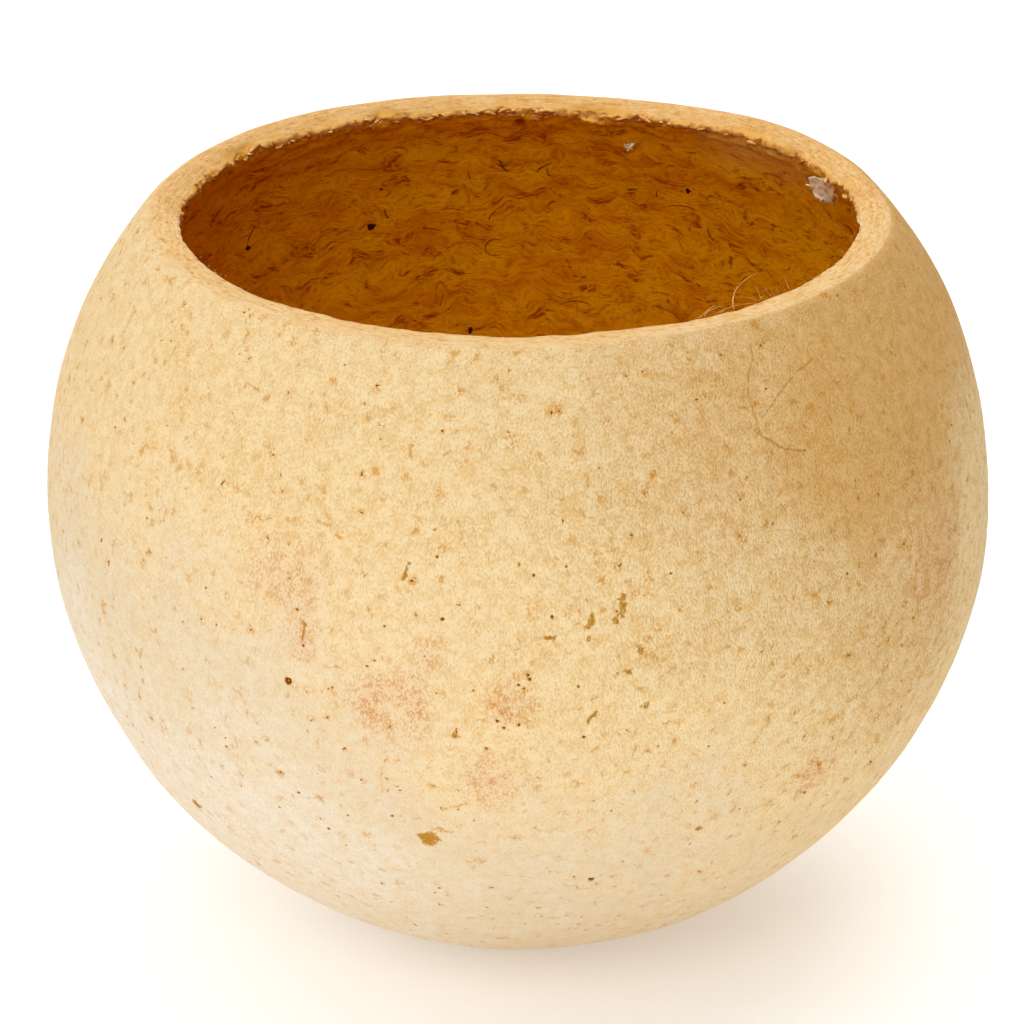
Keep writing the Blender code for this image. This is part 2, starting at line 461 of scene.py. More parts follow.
@dataclass
class PodRind:
    """The rind as one closed, finely modelled mesh.

    Each pass over the lip gives the lowest and highest run of the edges that it halves, and whether
    it halves only those that go round the pod.
    """

    CRACK_DEPTH = 0.055 * MM
    PINHOLE_DEPTH = 0.07 * MM
    PIT_DEPTH = 0.16 * MM
    STREAK_DEPTH = 0.02 * MM
    surface: RindSurface
    finish: RindFinish
    marks: list[Mark]
    trails: list[Trail]
    rim_reach: float = 0.95 * MM
    turn_steps: int = 240
    inside_steps: int = 86
    cut_steps: int = 9
    skin_steps: int = 92
    edge_steps: int = 4
    foot_steps: int = 5
    scar_steps: int = 9
    trail_spacing: float = 0.10 * MM
    lip_spacing: float = 0.17 * MM
    lip_passes: tuple[tuple[float, float, bool], ...] = (
        (-3.0 * MM, 2.2 * MM, True),
        (-2.7 * MM, 1.6 * MM, True),
        (-2.5 * MM, 1.2 * MM, False),
    )
    refine_reaches: tuple[float, ...] = (0.75 * MM, 0.42 * MM, 0.24 * MM, 0.15 * MM)

    def section(self) -> list[Vector]:
        """Half of the pod's section: up the inside, over the cut, down the skin, under the foot.

        Returns:
            The section's points, in order.
        """
        form = self.surface.form
        inner_angle = self.surface.inner_angle
        inside = [
            form.section_point(form.inside_distance(angle), angle)
            for angle in graded(math.pi, inner_angle, self.inside_steps, 1.4)
        ]
        skin = [
            form.section_point(form.skin_distance(angle), angle)
            for angle in reversed(graded(form.foot_angle, form.cut_angle, self.skin_steps, 1.25))
        ]
        inner_corner = rounded_corner(
            inside[-2], form.cut_inner_edge, form.cut_outer_edge, form.inner_edge_radius, self.edge_steps)
        outer_corner = rounded_corner(
            form.cut_inner_edge, form.cut_outer_edge, skin[4], form.outer_edge_radius, self.edge_steps)
        inside = [point for point in inside if point.z < inner_corner[0].z - 0.05 * MM]
        skin = [point for point in skin if point.z < outer_corner[-1].z - 0.05 * MM]
        cut = [
            inner_corner[-1].lerp(outer_corner[0], step / self.cut_steps)
            for step in range(1, self.cut_steps)
        ]
        return inside + inner_corner + cut + outer_corner + skin + self.foot()

    def foot(self) -> list[Vector]:
        """The flat under the pod and the round scar in its middle.

        Returns:
            Their points, from the outside to the axis.
        """
        form = self.surface.form
        ring = form.foot_radius - form.scar_radius
        flat = [
            Vector((form.foot_radius - ring * step / self.foot_steps, 0.0, 0.0))
            for step in range(1, self.foot_steps)
        ]
        reaches = [form.scar_radius * (1.0 - step / self.scar_steps) for step in range(self.scar_steps + 1)]
        dents = [form.scar_depth * (1.0 + math.cos(math.pi * r / form.scar_radius)) / 2.0 for r in reaches]
        return flat + [Vector((reach, 0.0, dent)) for reach, dent in zip(reaches, dents)]

    def spun(self) -> bmesh.types.BMesh:
        """The section turned once round the axis, closed at its poles, with its faces outwards.

        Returns:
            The closed shell.
        """
        shell = bmesh.new()
        corners = [shell.verts.new(point) for point in self.section()]
        edges = [shell.edges.new(pair) for pair in zip(corners, corners[1:])]
        bmesh.ops.spin(
            shell, geom=corners + edges, cent=(0.0, 0.0, 0.0), axis=(0.0, 0.0, 1.0),
            angle=math.tau, steps=self.turn_steps, use_merge=True, use_duplicate=False)
        bmesh.ops.remove_doubles(shell, verts=shell.verts, dist=0.001 * MM)
        bmesh.ops.recalc_face_normals(shell, faces=shell.faces)
        return shell

    def trail_points(self, trail: Trail) -> list[Vector]:
        """Points close together along a trail, which wander a little as a real crack does.

        Args:
            trail: The trail.

        Returns:
            The points.
        """
        points: list[Vector] = []
        corners = [self.surface.turned(azimuth, tilt, Zone.SKIN) for azimuth, tilt in trail.places]
        for start, end in zip(corners, corners[1:]):
            count = max(2, int((end - start).length / self.trail_spacing))
            for step in range(count):
                point = start.lerp(end, step / count)
                wander = noise.noise_vector(point / (0.9 * MM)) * (0.10 * MM)
                points.append(point + wander)
        return points

    def flaw_tree(self) -> tuple[KDTree, list[Mark]]:
        """A search tree of every flaw's place, and the flaws in the same order.

        Returns:
            The tree and the flaws.
        """
        places = [self.surface.turned(mark.azimuth, mark.tilt, Zone.SKIN) for mark in self.marks]
        flaws = list(self.marks)
        for trail in self.trails:
            for point in self.trail_points(trail):
                places.append(point)
                flaws.append(Mark(trail.kind, 0.0, 0.0, trail.radius))
        tree = KDTree(len(places))
        for index, place in enumerate(places):
            tree.insert(place, index)
        tree.balance()
        return tree, flaws

    def refine(self, shell: bmesh.types.BMesh, tree: KDTree, flaws: list[Mark]) -> None:
        """Halve the edges round the torn lip once, and round each flaw again and again.

        Args:
            shell: The spun shell.
            tree: The search tree of the flaws.
            flaws: The flaws, in the tree's order.
        """
        surface = self.surface
        for low, high, round_only in self.lip_passes:
            lip = []
            for edge in shell.edges:
                first, last = edge.verts
                long_enough = not round_only or abs(first.co.x * last.co.y - first.co.y * last.co.x) > 1e-10
                middle = (first.co + last.co) / 2.0
                if long_enough and edge.calc_length() > self.lip_spacing and low < surface.run(middle) < high:
                    if surface.back_share(middle) > 0.02 or abs(surface.run(middle)) < 0.45 * MM:
                        lip.append(edge)
            bmesh.ops.subdivide_edges(shell, edges=lip, cuts=1, use_grid_fill=True)
        for reach in self.refine_reaches:
            near = []
            for edge in shell.edges:
                middle = (edge.verts[0].co + edge.verts[1].co) / 2.0
                _, index, gap = tree.find(middle)
                extra = max(0.0, flaws[index].radius - 0.1 * MM)
                if gap < reach + extra and surface.depth_share(middle) < 0.3:
                    near.append(edge)
            bmesh.ops.subdivide_edges(shell, edges=near, cuts=1, use_grid_fill=True)

    def flaw_effect(self, point: Vector, mark: Mark, gap: float) -> tuple[float, float, float]:
        """How a flaw marks the skin at a point.

        Args:
            point: The turned point.
            mark: The nearest flaw.
            gap: The distance from the point to the flaw's middle.

        Returns:
            The shift outwards, how dark and how tan the skin is there, each from 0 to 1.
        """
        edge_noise = rough(point, 0.35 * MM, Vector((1.5, 2.5, 3.5)))
        if mark.kind is Flaw.CRACK:
            share = ease(mark.radius - gap, 0.0, mark.radius)
            faint = 0.85 + 0.4 * rough(point, 1.4 * MM, Vector((5.1, 0.9, 8.2)))
            return -self.CRACK_DEPTH * share * faint, 0.0, share * min(1.0, max(0.4, faint))
        if mark.kind is Flaw.PINHOLE:
            share = ease(1.3 * mark.radius * (1.0 + 0.5 * edge_noise) - gap, 0.0, 1.1 * mark.radius)
            return -self.PINHOLE_DEPTH * share, share, 0.0
        warped = gap / mark.radius * (1.0 + (0.7 if mark.kind is Flaw.STREAK else 0.35) * edge_noise)
        share = ease(1.0 - warped, 0.0, 0.35)
        if mark.kind is Flaw.PIT:
            middle = ease(0.45 - warped, 0.0, 0.3)
            rim = ease(0.5 - abs(warped - 1.1), 0.0, 0.4)
            raised = (0.07 * middle + 0.02 * rim) * MM
            return raised - self.PIT_DEPTH * share, share * (1.0 - 0.6 * middle), 0.0
        if mark.kind is Flaw.SCAB:
            pebbles = rough(point, 0.28 * MM, Vector((6.5, 4.5, 0.5)))
            edge = ease(0.30 - abs(warped - 0.85), 0.0, 0.3)
            return (0.020 + 0.035 * pebbles - 0.03 * edge) * MM * share, 0.15 * edge * share, share
        return -self.STREAK_DEPTH * share, 0.0, share

    def slot_of(self, low: float, high: float) -> Slot:
        """The slot of a face whose run goes from low to high.

        Args:
            low: The least run of its corners.
            high: The greatest run of its corners.

        Returns:
            The slot.
        """
        if high < -self.rim_reach:
            return Slot.INSIDE
        return Slot.SKIN if low > self.surface.cut_width + self.rim_reach else Slot.RIM

    def build(self) -> Object:
        """Make the rind's mesh, with the attributes that its finish reads.

        Returns:
            The rind's object, at the origin.
        """
        surface = self.surface
        tree, flaws = self.flaw_tree()
        shell = self.spun()
        self.refine(shell, tree, flaws)
        names = ("run", "tone", "stain", "dark", "tan")
        layers = {name: shell.verts.layers.float.new(name) for name in names}
        for vertex in shell.verts:
            point = vertex.co.copy()
            run = surface.pale_run(point)
            vertex[layers["run"]] = run / MM
            vertex[layers["tone"]], vertex[layers["stain"]] = self.finish.tones(point, run, surface)
            target = surface.place(point)
            if surface.depth_share(point) < 0.3:
                _, index, gap = tree.find(point)
                shift, dark, tan = self.flaw_effect(point, flaws[index], gap)
                target += (point - surface.centre).normalized() * shift
                vertex[layers["dark"]] = dark
                vertex[layers["tan"]] = tan
            else:
                chip = surface.chip_shift(point, surface.back_share(point)).length
                vertex[layers["tan"]] = ease(chip, 0.0, 0.30 * MM)
                vertex[layers["dark"]] = self.finish.felt.haze(point) if run < 0.0 else 0.0
            vertex.co = target
        for face in shell.faces:
            runs = [corner[layers["run"]] * MM for corner in face.verts]
            face.material_index = self.slot_of(min(runs), max(runs))
        mesh = bpy.data.meshes.new("pod_rind")
        shell.to_mesh(mesh)
        shell.free()
        return shown("pod_rind", mesh)


def shown(name: str, mesh: Mesh) -> Object:
    """Put a finished mesh in the scene under a name, smoothly shaded, at the origin.

    Args:
        name: The object's name.
        mesh: The finished mesh.

    Returns:
        The object.
    """
    mesh.shade_smooth()
    piece = bpy.data.objects.new(name, mesh)
    bpy.context.scene.collection.objects.link(piece)
    return piece


def finished(name: str, bundle: bmesh.types.BMesh) -> Object:
    """Turn a bundle of small closed meshes into a piece, with all its faces outwards.

    Args:
        name: The piece's name.
        bundle: The bundle, which is let go of.

    Returns:
        The piece's object.
    """
    bmesh.ops.recalc_face_normals(bundle, faces=bundle.faces)
    mesh = bpy.data.meshes.new(name)
    bundle.to_mesh(mesh)
    bundle.free()
    return shown(name, mesh)


def join(bundle: bmesh.types.BMesh, part: bmesh.types.BMesh) -> None:
    """Add a finished small mesh to a bundle, and let go of it.

    Args:
        bundle: The mesh that it joins.
        part: The small mesh.
    """
    carrier = bpy.data.meshes.new("carrier")
    part.to_mesh(carrier)
    part.free()
    bundle.from_mesh(carrier)
    bpy.data.meshes.remove(carrier)


def grow_strand(
        bundle: bmesh.types.BMesh, path: Callable[[float], Vector], root_radius: float,
        tip_radius: float, joints: int, sides: int = 4) -> None:
    """Add one closed, tapered strand that follows a path.

    Args:
        bundle: The mesh that the strand joins.
        path: Gives the strand's place for a share of its length from 0 to 1.
        root_radius: The strand's radius at its root.
        tip_radius: The strand's radius at its tip.
        joints: How many times the strand is cut across, so that it can bend.
        sides: How many sides the strand has.
    """
    strand = bmesh.new()
    bmesh.ops.create_cone(
        strand, cap_ends=True, segments=sides, radius1=root_radius, radius2=tip_radius, depth=1.0)
    long_edges = [edge for edge in strand.edges if abs(edge.verts[0].co.z - edge.verts[1].co.z) > 0.5]
    bmesh.ops.subdivide_edges(strand, edges=long_edges, cuts=joints, use_grid_fill=True)
    for corner in strand.verts:
        share = min(1.0, max(0.0, corner.co.z + 0.5))
        ahead = (path(min(1.0, share + 0.02)) - path(max(0.0, share - 0.02))).normalized()
        turn = ahead.to_track_quat("Z", "Y")
        corner.co = path(share) + turn @ Vector((corner.co.x, corner.co.y, 0.0))
    join(bundle, strand)


def curved_path(root: Vector, middle: Vector, tip: Vector) -> Callable[[float], Vector]:
    """A smooth path from root to tip that is drawn towards middle.

    Args:
        root: Where it starts.
        middle: What draws it.
        tip: Where it ends.

    Returns:
        The path, which takes a share of its length from 0 to 1.
    """

    def path(share: float) -> Vector:
        """The place at a share of the length."""
        return root.lerp(middle, share).lerp(middle.lerp(tip, share), share)

    return path


class Shader:
    """A small hand for building one material's nodes."""

    def __init__(self, name: str) -> None:
        """Start a material with a Principled shader.

        Args:
            name: The material's name.
        """
        self.material: Material = bpy.data.materials.new(name)
        self.material.use_nodes = True
        self.tree = self.material.node_tree
        self.principled = self.tree.nodes["Principled BSDF"]
        self.place: NodeSocket = self.node("ShaderNodeTexCoord").outputs["Object"]

    def node(self, kind: str) -> ShaderNode:
        """Add a node of the given kind."""
        return self.tree.nodes.new(kind)

    def feed(self, socket: NodeSocket, value: NodeSocket | float | Colour | Vector) -> None:
        """Link a value to a socket, or set it there if it is a constant.

        Args:
            socket: The input socket.
            value: A socket or a constant.
        """
        if isinstance(value, NodeSocket):
            self.tree.links.new(value, socket)
        else:
            socket.default_value = value

    def math(self, operation: str, first: NodeSocket | float, second: NodeSocket | float = 0.0) -> NodeSocket:
        """Calculate with one or two numbers.

        Args:
            operation: The name of the node's operation.
            first: The first number.
            second: The second number.

        Returns:
            The result's socket.
        """
        node = self.node("ShaderNodeMath")
        node.operation = operation
        self.feed(node.inputs[0], first)
        self.feed(node.inputs[1], second)
        return node.outputs[0]

    def times(self, first: NodeSocket | float, second: NodeSocket | float) -> NodeSocket:
        """The product of two numbers."""
        return self.math("MULTIPLY", first, second)

    def most(self, first: NodeSocket | float, second: NodeSocket | float) -> NodeSocket:
        """The larger of two numbers."""
        return self.math("MAXIMUM", first, second)

    def vector(self, operation: str, first: NodeSocket, second: NodeSocket | Vector | float) -> NodeSocket:
        """Calculate with a vector and another, or with a vector and a scale.

        Args:
            operation: The name of the node's operation.
            first: The first vector.
            second: The other vector or the scale.

        Returns:
            The result's socket.
        """
        node = self.node("ShaderNodeVectorMath")
        node.operation = operation
        self.feed(node.inputs[0], first)
        self.feed(node.inputs["Scale" if operation == "SCALE" else 1], second)
        return node.outputs["Vector"]

    def rise(self, value: NodeSocket, low: float, high: float) -> NodeSocket:
        """Smooth step of a value: 0 up to low, and 1 from high on.

        Args:
            value: The value.
            low: Where the step starts.
            high: Where it ends.

        Returns:
            The result's socket.
        """
        node = self.node("ShaderNodeMapRange")
        node.interpolation_type = "SMOOTHSTEP"
        self.feed(node.inputs["Value"], value)
        node.inputs["From Min"].default_value = low
        node.inputs["From Max"].default_value = high
        return node.outputs["Result"]

    def fall(self, value: NodeSocket, low: float, high: float) -> NodeSocket:
        """Smooth step down of a value: 1 up to low, and 0 from high on."""
        return self.math("SUBTRACT", 1.0, self.rise(value, low, high))

    def noise(
            self, size: float, detail: float = 2.0, where: NodeSocket | None = None,
            roughness: float = 0.5, output: str = "Fac") -> NodeSocket:
        """Cloudy noise from 0 to 1 with features of about the given size.

        Args:
            size: The size in metres.
            detail: How many finer layers it has.
            where: The coordinates, if not the plain ones.
            roughness: How strong the finer layers are.
            output: The node's output: Fac or Color.

        Returns:
            The result's socket.
        """
        node = self.node("ShaderNodeTexNoise")
        self.feed(node.inputs["Vector"], where or self.place)
        node.inputs["Scale"].default_value = 1.0 / size
        node.inputs["Detail"].default_value = detail
        node.inputs["Roughness"].default_value = roughness
        return node.outputs[output]

    def cells(self, size: float, where: NodeSocket | None = None) -> tuple[NodeSocket, NodeSocket]:
        """Scattered cells: the distance to the nearest cell's middle in metres, and its own colour.

        Args:
            size: The distance between the cells in metres.
            where: The coordinates, if not the plain ones.

        Returns:
            The two sockets.
        """
        node = self.node("ShaderNodeTexVoronoi")
        self.feed(node.inputs["Vector"], where or self.place)
        node.inputs["Scale"].default_value = 1.0 / size
        return self.times(node.outputs["Distance"], size), node.outputs["Color"]

    def channels(self, colour: NodeSocket) -> tuple[NodeSocket, NodeSocket, NodeSocket]:
        """The red, green and blue of a colour, as three numbers.

        Args:
            colour: The colour.

        Returns:
            The three sockets.
        """
        node = self.node("ShaderNodeSeparateColor")
        self.feed(node.inputs[0], colour)
        return node.outputs[0], node.outputs[1], node.outputs[2]

    def stretched(self, where: NodeSocket, scale: tuple[float, float, float]) -> NodeSocket:
        """Coordinates scaled along each axis, which draws a pattern out where the scale is small.

        Args:
            where: The coordinates.
            scale: The scale along each axis.

        Returns:
            The result's socket.
        """
        node = self.node("ShaderNodeMapping")
        self.feed(node.inputs["Vector"], where)
        node.inputs["Scale"].default_value = scale
        return node.outputs["Vector"]

    def warped(self, where: NodeSocket, size: float, amount: float) -> NodeSocket:
        """Coordinates pushed about by noise of the given size, by up to about half the amount.

        Args:
            where: The coordinates.
            size: The noise's size in metres.
            amount: The push in metres.

        Returns:
            The result's socket.
        """
        push = self.vector("SUBTRACT", self.noise(size, 1.0, where, output="Color"), Vector((0.5, 0.5, 0.5)))
        return self.vector("ADD", where, self.vector("SCALE", push, amount))

    def mix(
            self, share: NodeSocket | float, first: NodeSocket | Colour,
            second: NodeSocket | Colour) -> NodeSocket:
        """Blend two colours: the first where the share is 0, and the second where it is 1.

        Args:
            share: The second colour's share.
            first: The first colour.
            second: The second colour.

        Returns:
            The result's socket.
        """
        node = self.node("ShaderNodeMix")
        node.data_type = "RGBA"
        self.feed(node.inputs[0], share)
        self.feed(node.inputs[6], first)
        self.feed(node.inputs[7], second)
        return node.outputs[2]

    def mix_value(
            self, share: NodeSocket | float, first: NodeSocket | float,
            second: NodeSocket | float) -> NodeSocket:
        """Blend two numbers: the first where the share is 0, and the second where it is 1.

        Args:
            share: The second number's share.
            first: The first number.
            second: The second number.

        Returns:
            The result's socket.
        """
        node = self.node("ShaderNodeMix")
        self.feed(node.inputs[0], share)
        self.feed(node.inputs[2], first)
        self.feed(node.inputs[3], second)
        return node.outputs[0]

    def attribute(self, name: str) -> NodeSocket:
        """A number that the mesh holds for each point.

        Args:
            name: The attribute's name.

        Returns:
            The result's socket.
        """
        node = self.node("ShaderNodeAttribute")
        node.attribute_name = name
        return node.outputs["Fac"]

    def along_rim(self, run: NodeSocket) -> NodeSocket:
        """Coordinates that change slowly along the rim and fast across it, where the run is in mm.

        Args:
            run: The distance from the cut's inner edge.

        Returns:
            The result's socket.
        """
        across = self.node("ShaderNodeCombineXYZ")
        self.feed(across.inputs[2], self.times(run, MM))
        level = self.stretched(self.warped(self.place, 2.4 * MM, 1.1 * MM), (0.16, 0.16, 0.60))
        return self.vector("ADD", level, across.outputs[0])

    def facing_up(self) -> NodeSocket:
        """How far the surface faces up: 1 straight up, 0 sideways and below 0 downwards.

        Returns:
            The result's socket.
        """
        node = self.node("ShaderNodeSeparateXYZ")
        self.feed(node.inputs[0], self.node("ShaderNodeNewGeometry").outputs["Normal"])
        return node.outputs[2]

    def finish(
            self, colour: NodeSocket, roughness: NodeSocket | float, height: NodeSocket,
            relief: float) -> Material:
        """Set the shader's colour, roughness and bump.

        Args:
            colour: The surface colour.
            roughness: The roughness.
            height: The bump's height, from 0 to about 1.
            relief: How high a bump of 1 is, in metres.

        Returns:
            The finished material.
        """
        bump = self.node("ShaderNodeBump")
        bump.inputs["Strength"].default_value = 1.0
        bump.inputs["Distance"].default_value = relief
        self.feed(bump.inputs["Height"], height)
        self.feed(self.principled.inputs["Normal"], bump.outputs["Normal"])
        self.feed(self.principled.inputs["Base Color"], colour)
        self.feed(self.principled.inputs["Roughness"], roughness)
        return self.material


@dataclass(frozen=True)
class Look:
    """What a finish gives to its surface: colour, roughness and height of the bump."""

    colour: NodeSocket
    roughness: NodeSocket | float
    height: NodeSocket


@dataclass(frozen=True)
class Blush:
    """A reddish blush in the skin: its place in degrees, its radius in metres and its strength."""

    azimuth: float
    tilt: float
    radius: float
    strength: float


@dataclass(frozen=True)
class SkinFinish:
    """The dry, matt, speckled skin of the rind."""

    ochre: Colour = srgb(255, 227, 176)
    cream: Colour = srgb(237, 219, 187)
    milk: Colour = srgb(243, 231, 210)
    tan: Colour = srgb(240, 194, 124)
    grain: Colour = srgb(230, 174, 80)
    deep_grain: Colour = srgb(216, 154, 74)
    speck: Colour = srgb(220, 150, 50)
    line: Colour = srgb(208, 138, 36)
    pinhole: Colour = srgb(138, 74, 10)
    scab: Colour = srgb(194, 136, 38)
    blush: Colour = srgb(234, 180, 132)
    rust: Colour = srgb(206, 120, 44)
    side_reach: float = 0.035
    blushes: tuple[Blush, ...] = (
        Blush(-105.0, 96.8, 0.0046, 1.0),
        Blush(-118.6, 83.1, 0.0046, 0.9),
        Blush(-93.2, 106.5, 0.0034, 0.9),
        Blush(-90.9, 95.8, 0.0026, 0.8),
        Blush(-100.3, 89.8, 0.0026, 0.7),
        Blush(-116.0, 90.0, 0.0022, 0.8),
        Blush(-28.8, 89.8, 0.0056, 1.0),
        Blush(-32.0, 76.5, 0.0040, 0.7),
        Blush(-49.1, 112.7, 0.0028, 0.8),
        Blush(62.0, 98.0, 0.0070, 0.7),
        Blush(158.0, 88.0, 0.0060, 0.7),
    )

    def tone(self, point: Vector) -> float:
        """How deep the skin's colour is: it deepens towards the cut and the right, palest low on the left.
        The deeper tan on the right is partly the skin's own and partly painted shade of the dim right side;
        the pale skin low down and on the left is partly painted light from the lamps and the floor; and the
        paler strip at the far right edge is a painted rim light.

        Args:
            point: The turned point.

        Returns:
            The tone: below 0 milky, 0 cream, 0.75 ochre and 1.8 tan.
        """
        drift = 5.0 * MM * rough(point, 17.0 * MM, Vector((4.7, 8.8, 2.6)))
        cloud = 0.16 * rough(point, 4.2 * MM, Vector((1.9, 3.3, 6.1)))
        side = point.x / self.side_reach
        height = (point.z + drift) / MM
        # Deeper towards the cut; the paler skin low down is partly painted light from the floor below.
        tone = 0.66 * ease(height, 15.0, 32.0) + 0.14 * ease(height, 36.0, 50.0) + cloud
        if side < 0.0:
            # Paler on the left, most low down: partly painted light of the lit left side.
            return tone + side * (0.85 - 0.70 * ease(height, 28.0, 46.0))
        upper = ease(height, 34.0, 48.0)
        # Deeper tan high on the right: partly the skin's own tan, partly painted shade.
        upper_right_tan_and_shade = 0.40 * upper * ease(0.22 - abs(side - 0.72), 0.0, 0.20)
        # Deeper towards the right, partly painted shade; the last term pales the far right edge as a painted
        # rim light.
        return tone + side * (0.60 + 0.45 * upper) + upper_right_tan_and_shade - 0.70 * ease(side, 0.86, 1.0)

    def stain(self, point: Vector, surface: RindSurface) -> float:
        """How reddish the skin is at a turned point: soft at a blush's edge and cloudy within it.

        Args:
            point: The turned point.
            surface: The rind's surface.

        Returns:
            The share, from 0 to 1.
        """
        total = 0.0
        for blush in self.blushes:
            gap = (point - surface.turned(blush.azimuth, blush.tilt, Zone.SKIN)).length
            total = max(total, blush.strength * ease(1.0 - gap / blush.radius, 0.0, 0.8))
        cloud = 0.55 + 0.65 * rough(point, 2.2 * MM, Vector((6.6, 2.2, 9.3)))
        return total * min(1.0, max(0.0, cloud))

    def spots(
            self, shader: Shader, where: NodeSocket, size: float,
            radius: float) -> tuple[NodeSocket, NodeSocket]:
        """Soft irregular spots of many sizes, and pinholes in the middle of some of them.

        Args:
            shader: The material being built.
            where: Warped coordinates, which give the spots their ragged outlines.
            size: The distance between the middles of the cells.
            radius: The radius of the largest spots.

        Returns:
            How strongly a spot shows, and how strongly a pinhole does, each from 0 to 1.
        """
        gap, own = shader.cells(size, where)
        chance, big, strong = shader.channels(own)
        share = shader.math("DIVIDE", gap, shader.mix_value(big, radius * 0.30, radius))
        spot = shader.fall(share, 0.35, 1.0)
        ringed = shader.math("GREATER_THAN", chance, 0.62)
        ring = shader.times(shader.fall(share, 0.1, 0.5), ringed)
        hollow = shader.math("SUBTRACT", spot, shader.times(ring, 0.55))
        holed = shader.math("GREATER_THAN", strong, 0.45)
        pin = shader.times(shader.fall(gap, 0.04 * MM, 0.12 * MM), holed)
        return shader.times(hollow, shader.mix_value(strong, 0.25, 1.0)), pin

    def look(self, shader: Shader) -> Look:
        """Build the skin's colour, roughness and bump.

        Args:
            shader: The material being built.

        Returns:
            The skin's look.
        """
        fine = shader.noise(0.16 * MM, 2.0, shader.stretched(shader.place, (1.10, 1.10, 0.66)))
        mottle = shader.noise(0.90 * MM, 2.0)
        stain = shader.attribute("stain")
        tone = shader.attribute("tone")
        colour = shader.mix(shader.rise(tone, -0.45, 0.15), self.milk, self.cream)
        colour = shader.mix(shader.rise(tone, 0.0, 0.75), colour, self.ochre)
        colour = shader.mix(shader.rise(tone, 0.75, 1.7), colour, self.tan)
        contrast = shader.rise(tone, 0.0, 1.3)
        mottled = shader.mix_value(0.38, fine, mottle)
        grain = shader.mix(shader.rise(tone, 0.75, 1.5), self.grain, self.deep_grain)
        grained = shader.rise(mottled, 0.38, 0.64)
        grained = shader.times(grained, shader.mix_value(contrast, 0.34, 0.66))
        colour = shader.mix(grained, colour, grain)
        colour = shader.mix(shader.times(stain, 0.50), colour, self.blush)
        rusty = shader.times(stain, shader.rise(mottled, 0.48, 0.60))
        colour = shader.mix(shader.times(rusty, 0.80), colour, self.rust)
        where = shader.warped(shader.place, 0.60 * MM, 0.80 * MM)
        spots, pin = self.spots(shader, where, 1.15 * MM, 0.62 * MM)
        fibrous = shader.rise(shader.mix_value(0.25, fine, mottle), 0.38, 0.54)
        spotted = shader.times(spots, fibrous)
        spot_share = shader.times(spotted, shader.mix_value(contrast, 0.50, 0.95))
        colour = shader.mix(spot_share, colour, self.speck)
        crossing = shader.math("ABSOLUTE", shader.math("SUBTRACT", shader.noise(5.5 * MM, 1.0, where), 0.5))
        lines = shader.times(shader.fall(crossing, 0.002, 0.010), shader.rise(mottle, 0.50, 0.66))
        colour = shader.mix(shader.times(lines, 0.60), colour, self.line)
        scabbed = shader.times(shader.attribute("tan"), shader.rise(mottled, 0.28, 0.50))
        colour = shader.mix(scabbed, colour, self.scab)
        dark = shader.most(shader.attribute("dark"), pin)
        colour = shader.mix(shader.rise(dark, 0.0, 0.30), colour, self.speck)
        colour = shader.mix(shader.rise(dark, 0.25, 0.85), colour, self.pinhole)
        roughness = shader.mix_value(mottle, 0.62, 0.88)
        bumps = shader.times(fine, shader.mix_value(contrast, 1.6, 3.2))
        height = shader.math("ADD", bumps, shader.times(mottle, 1.4))
        return Look(colour, roughness, height)


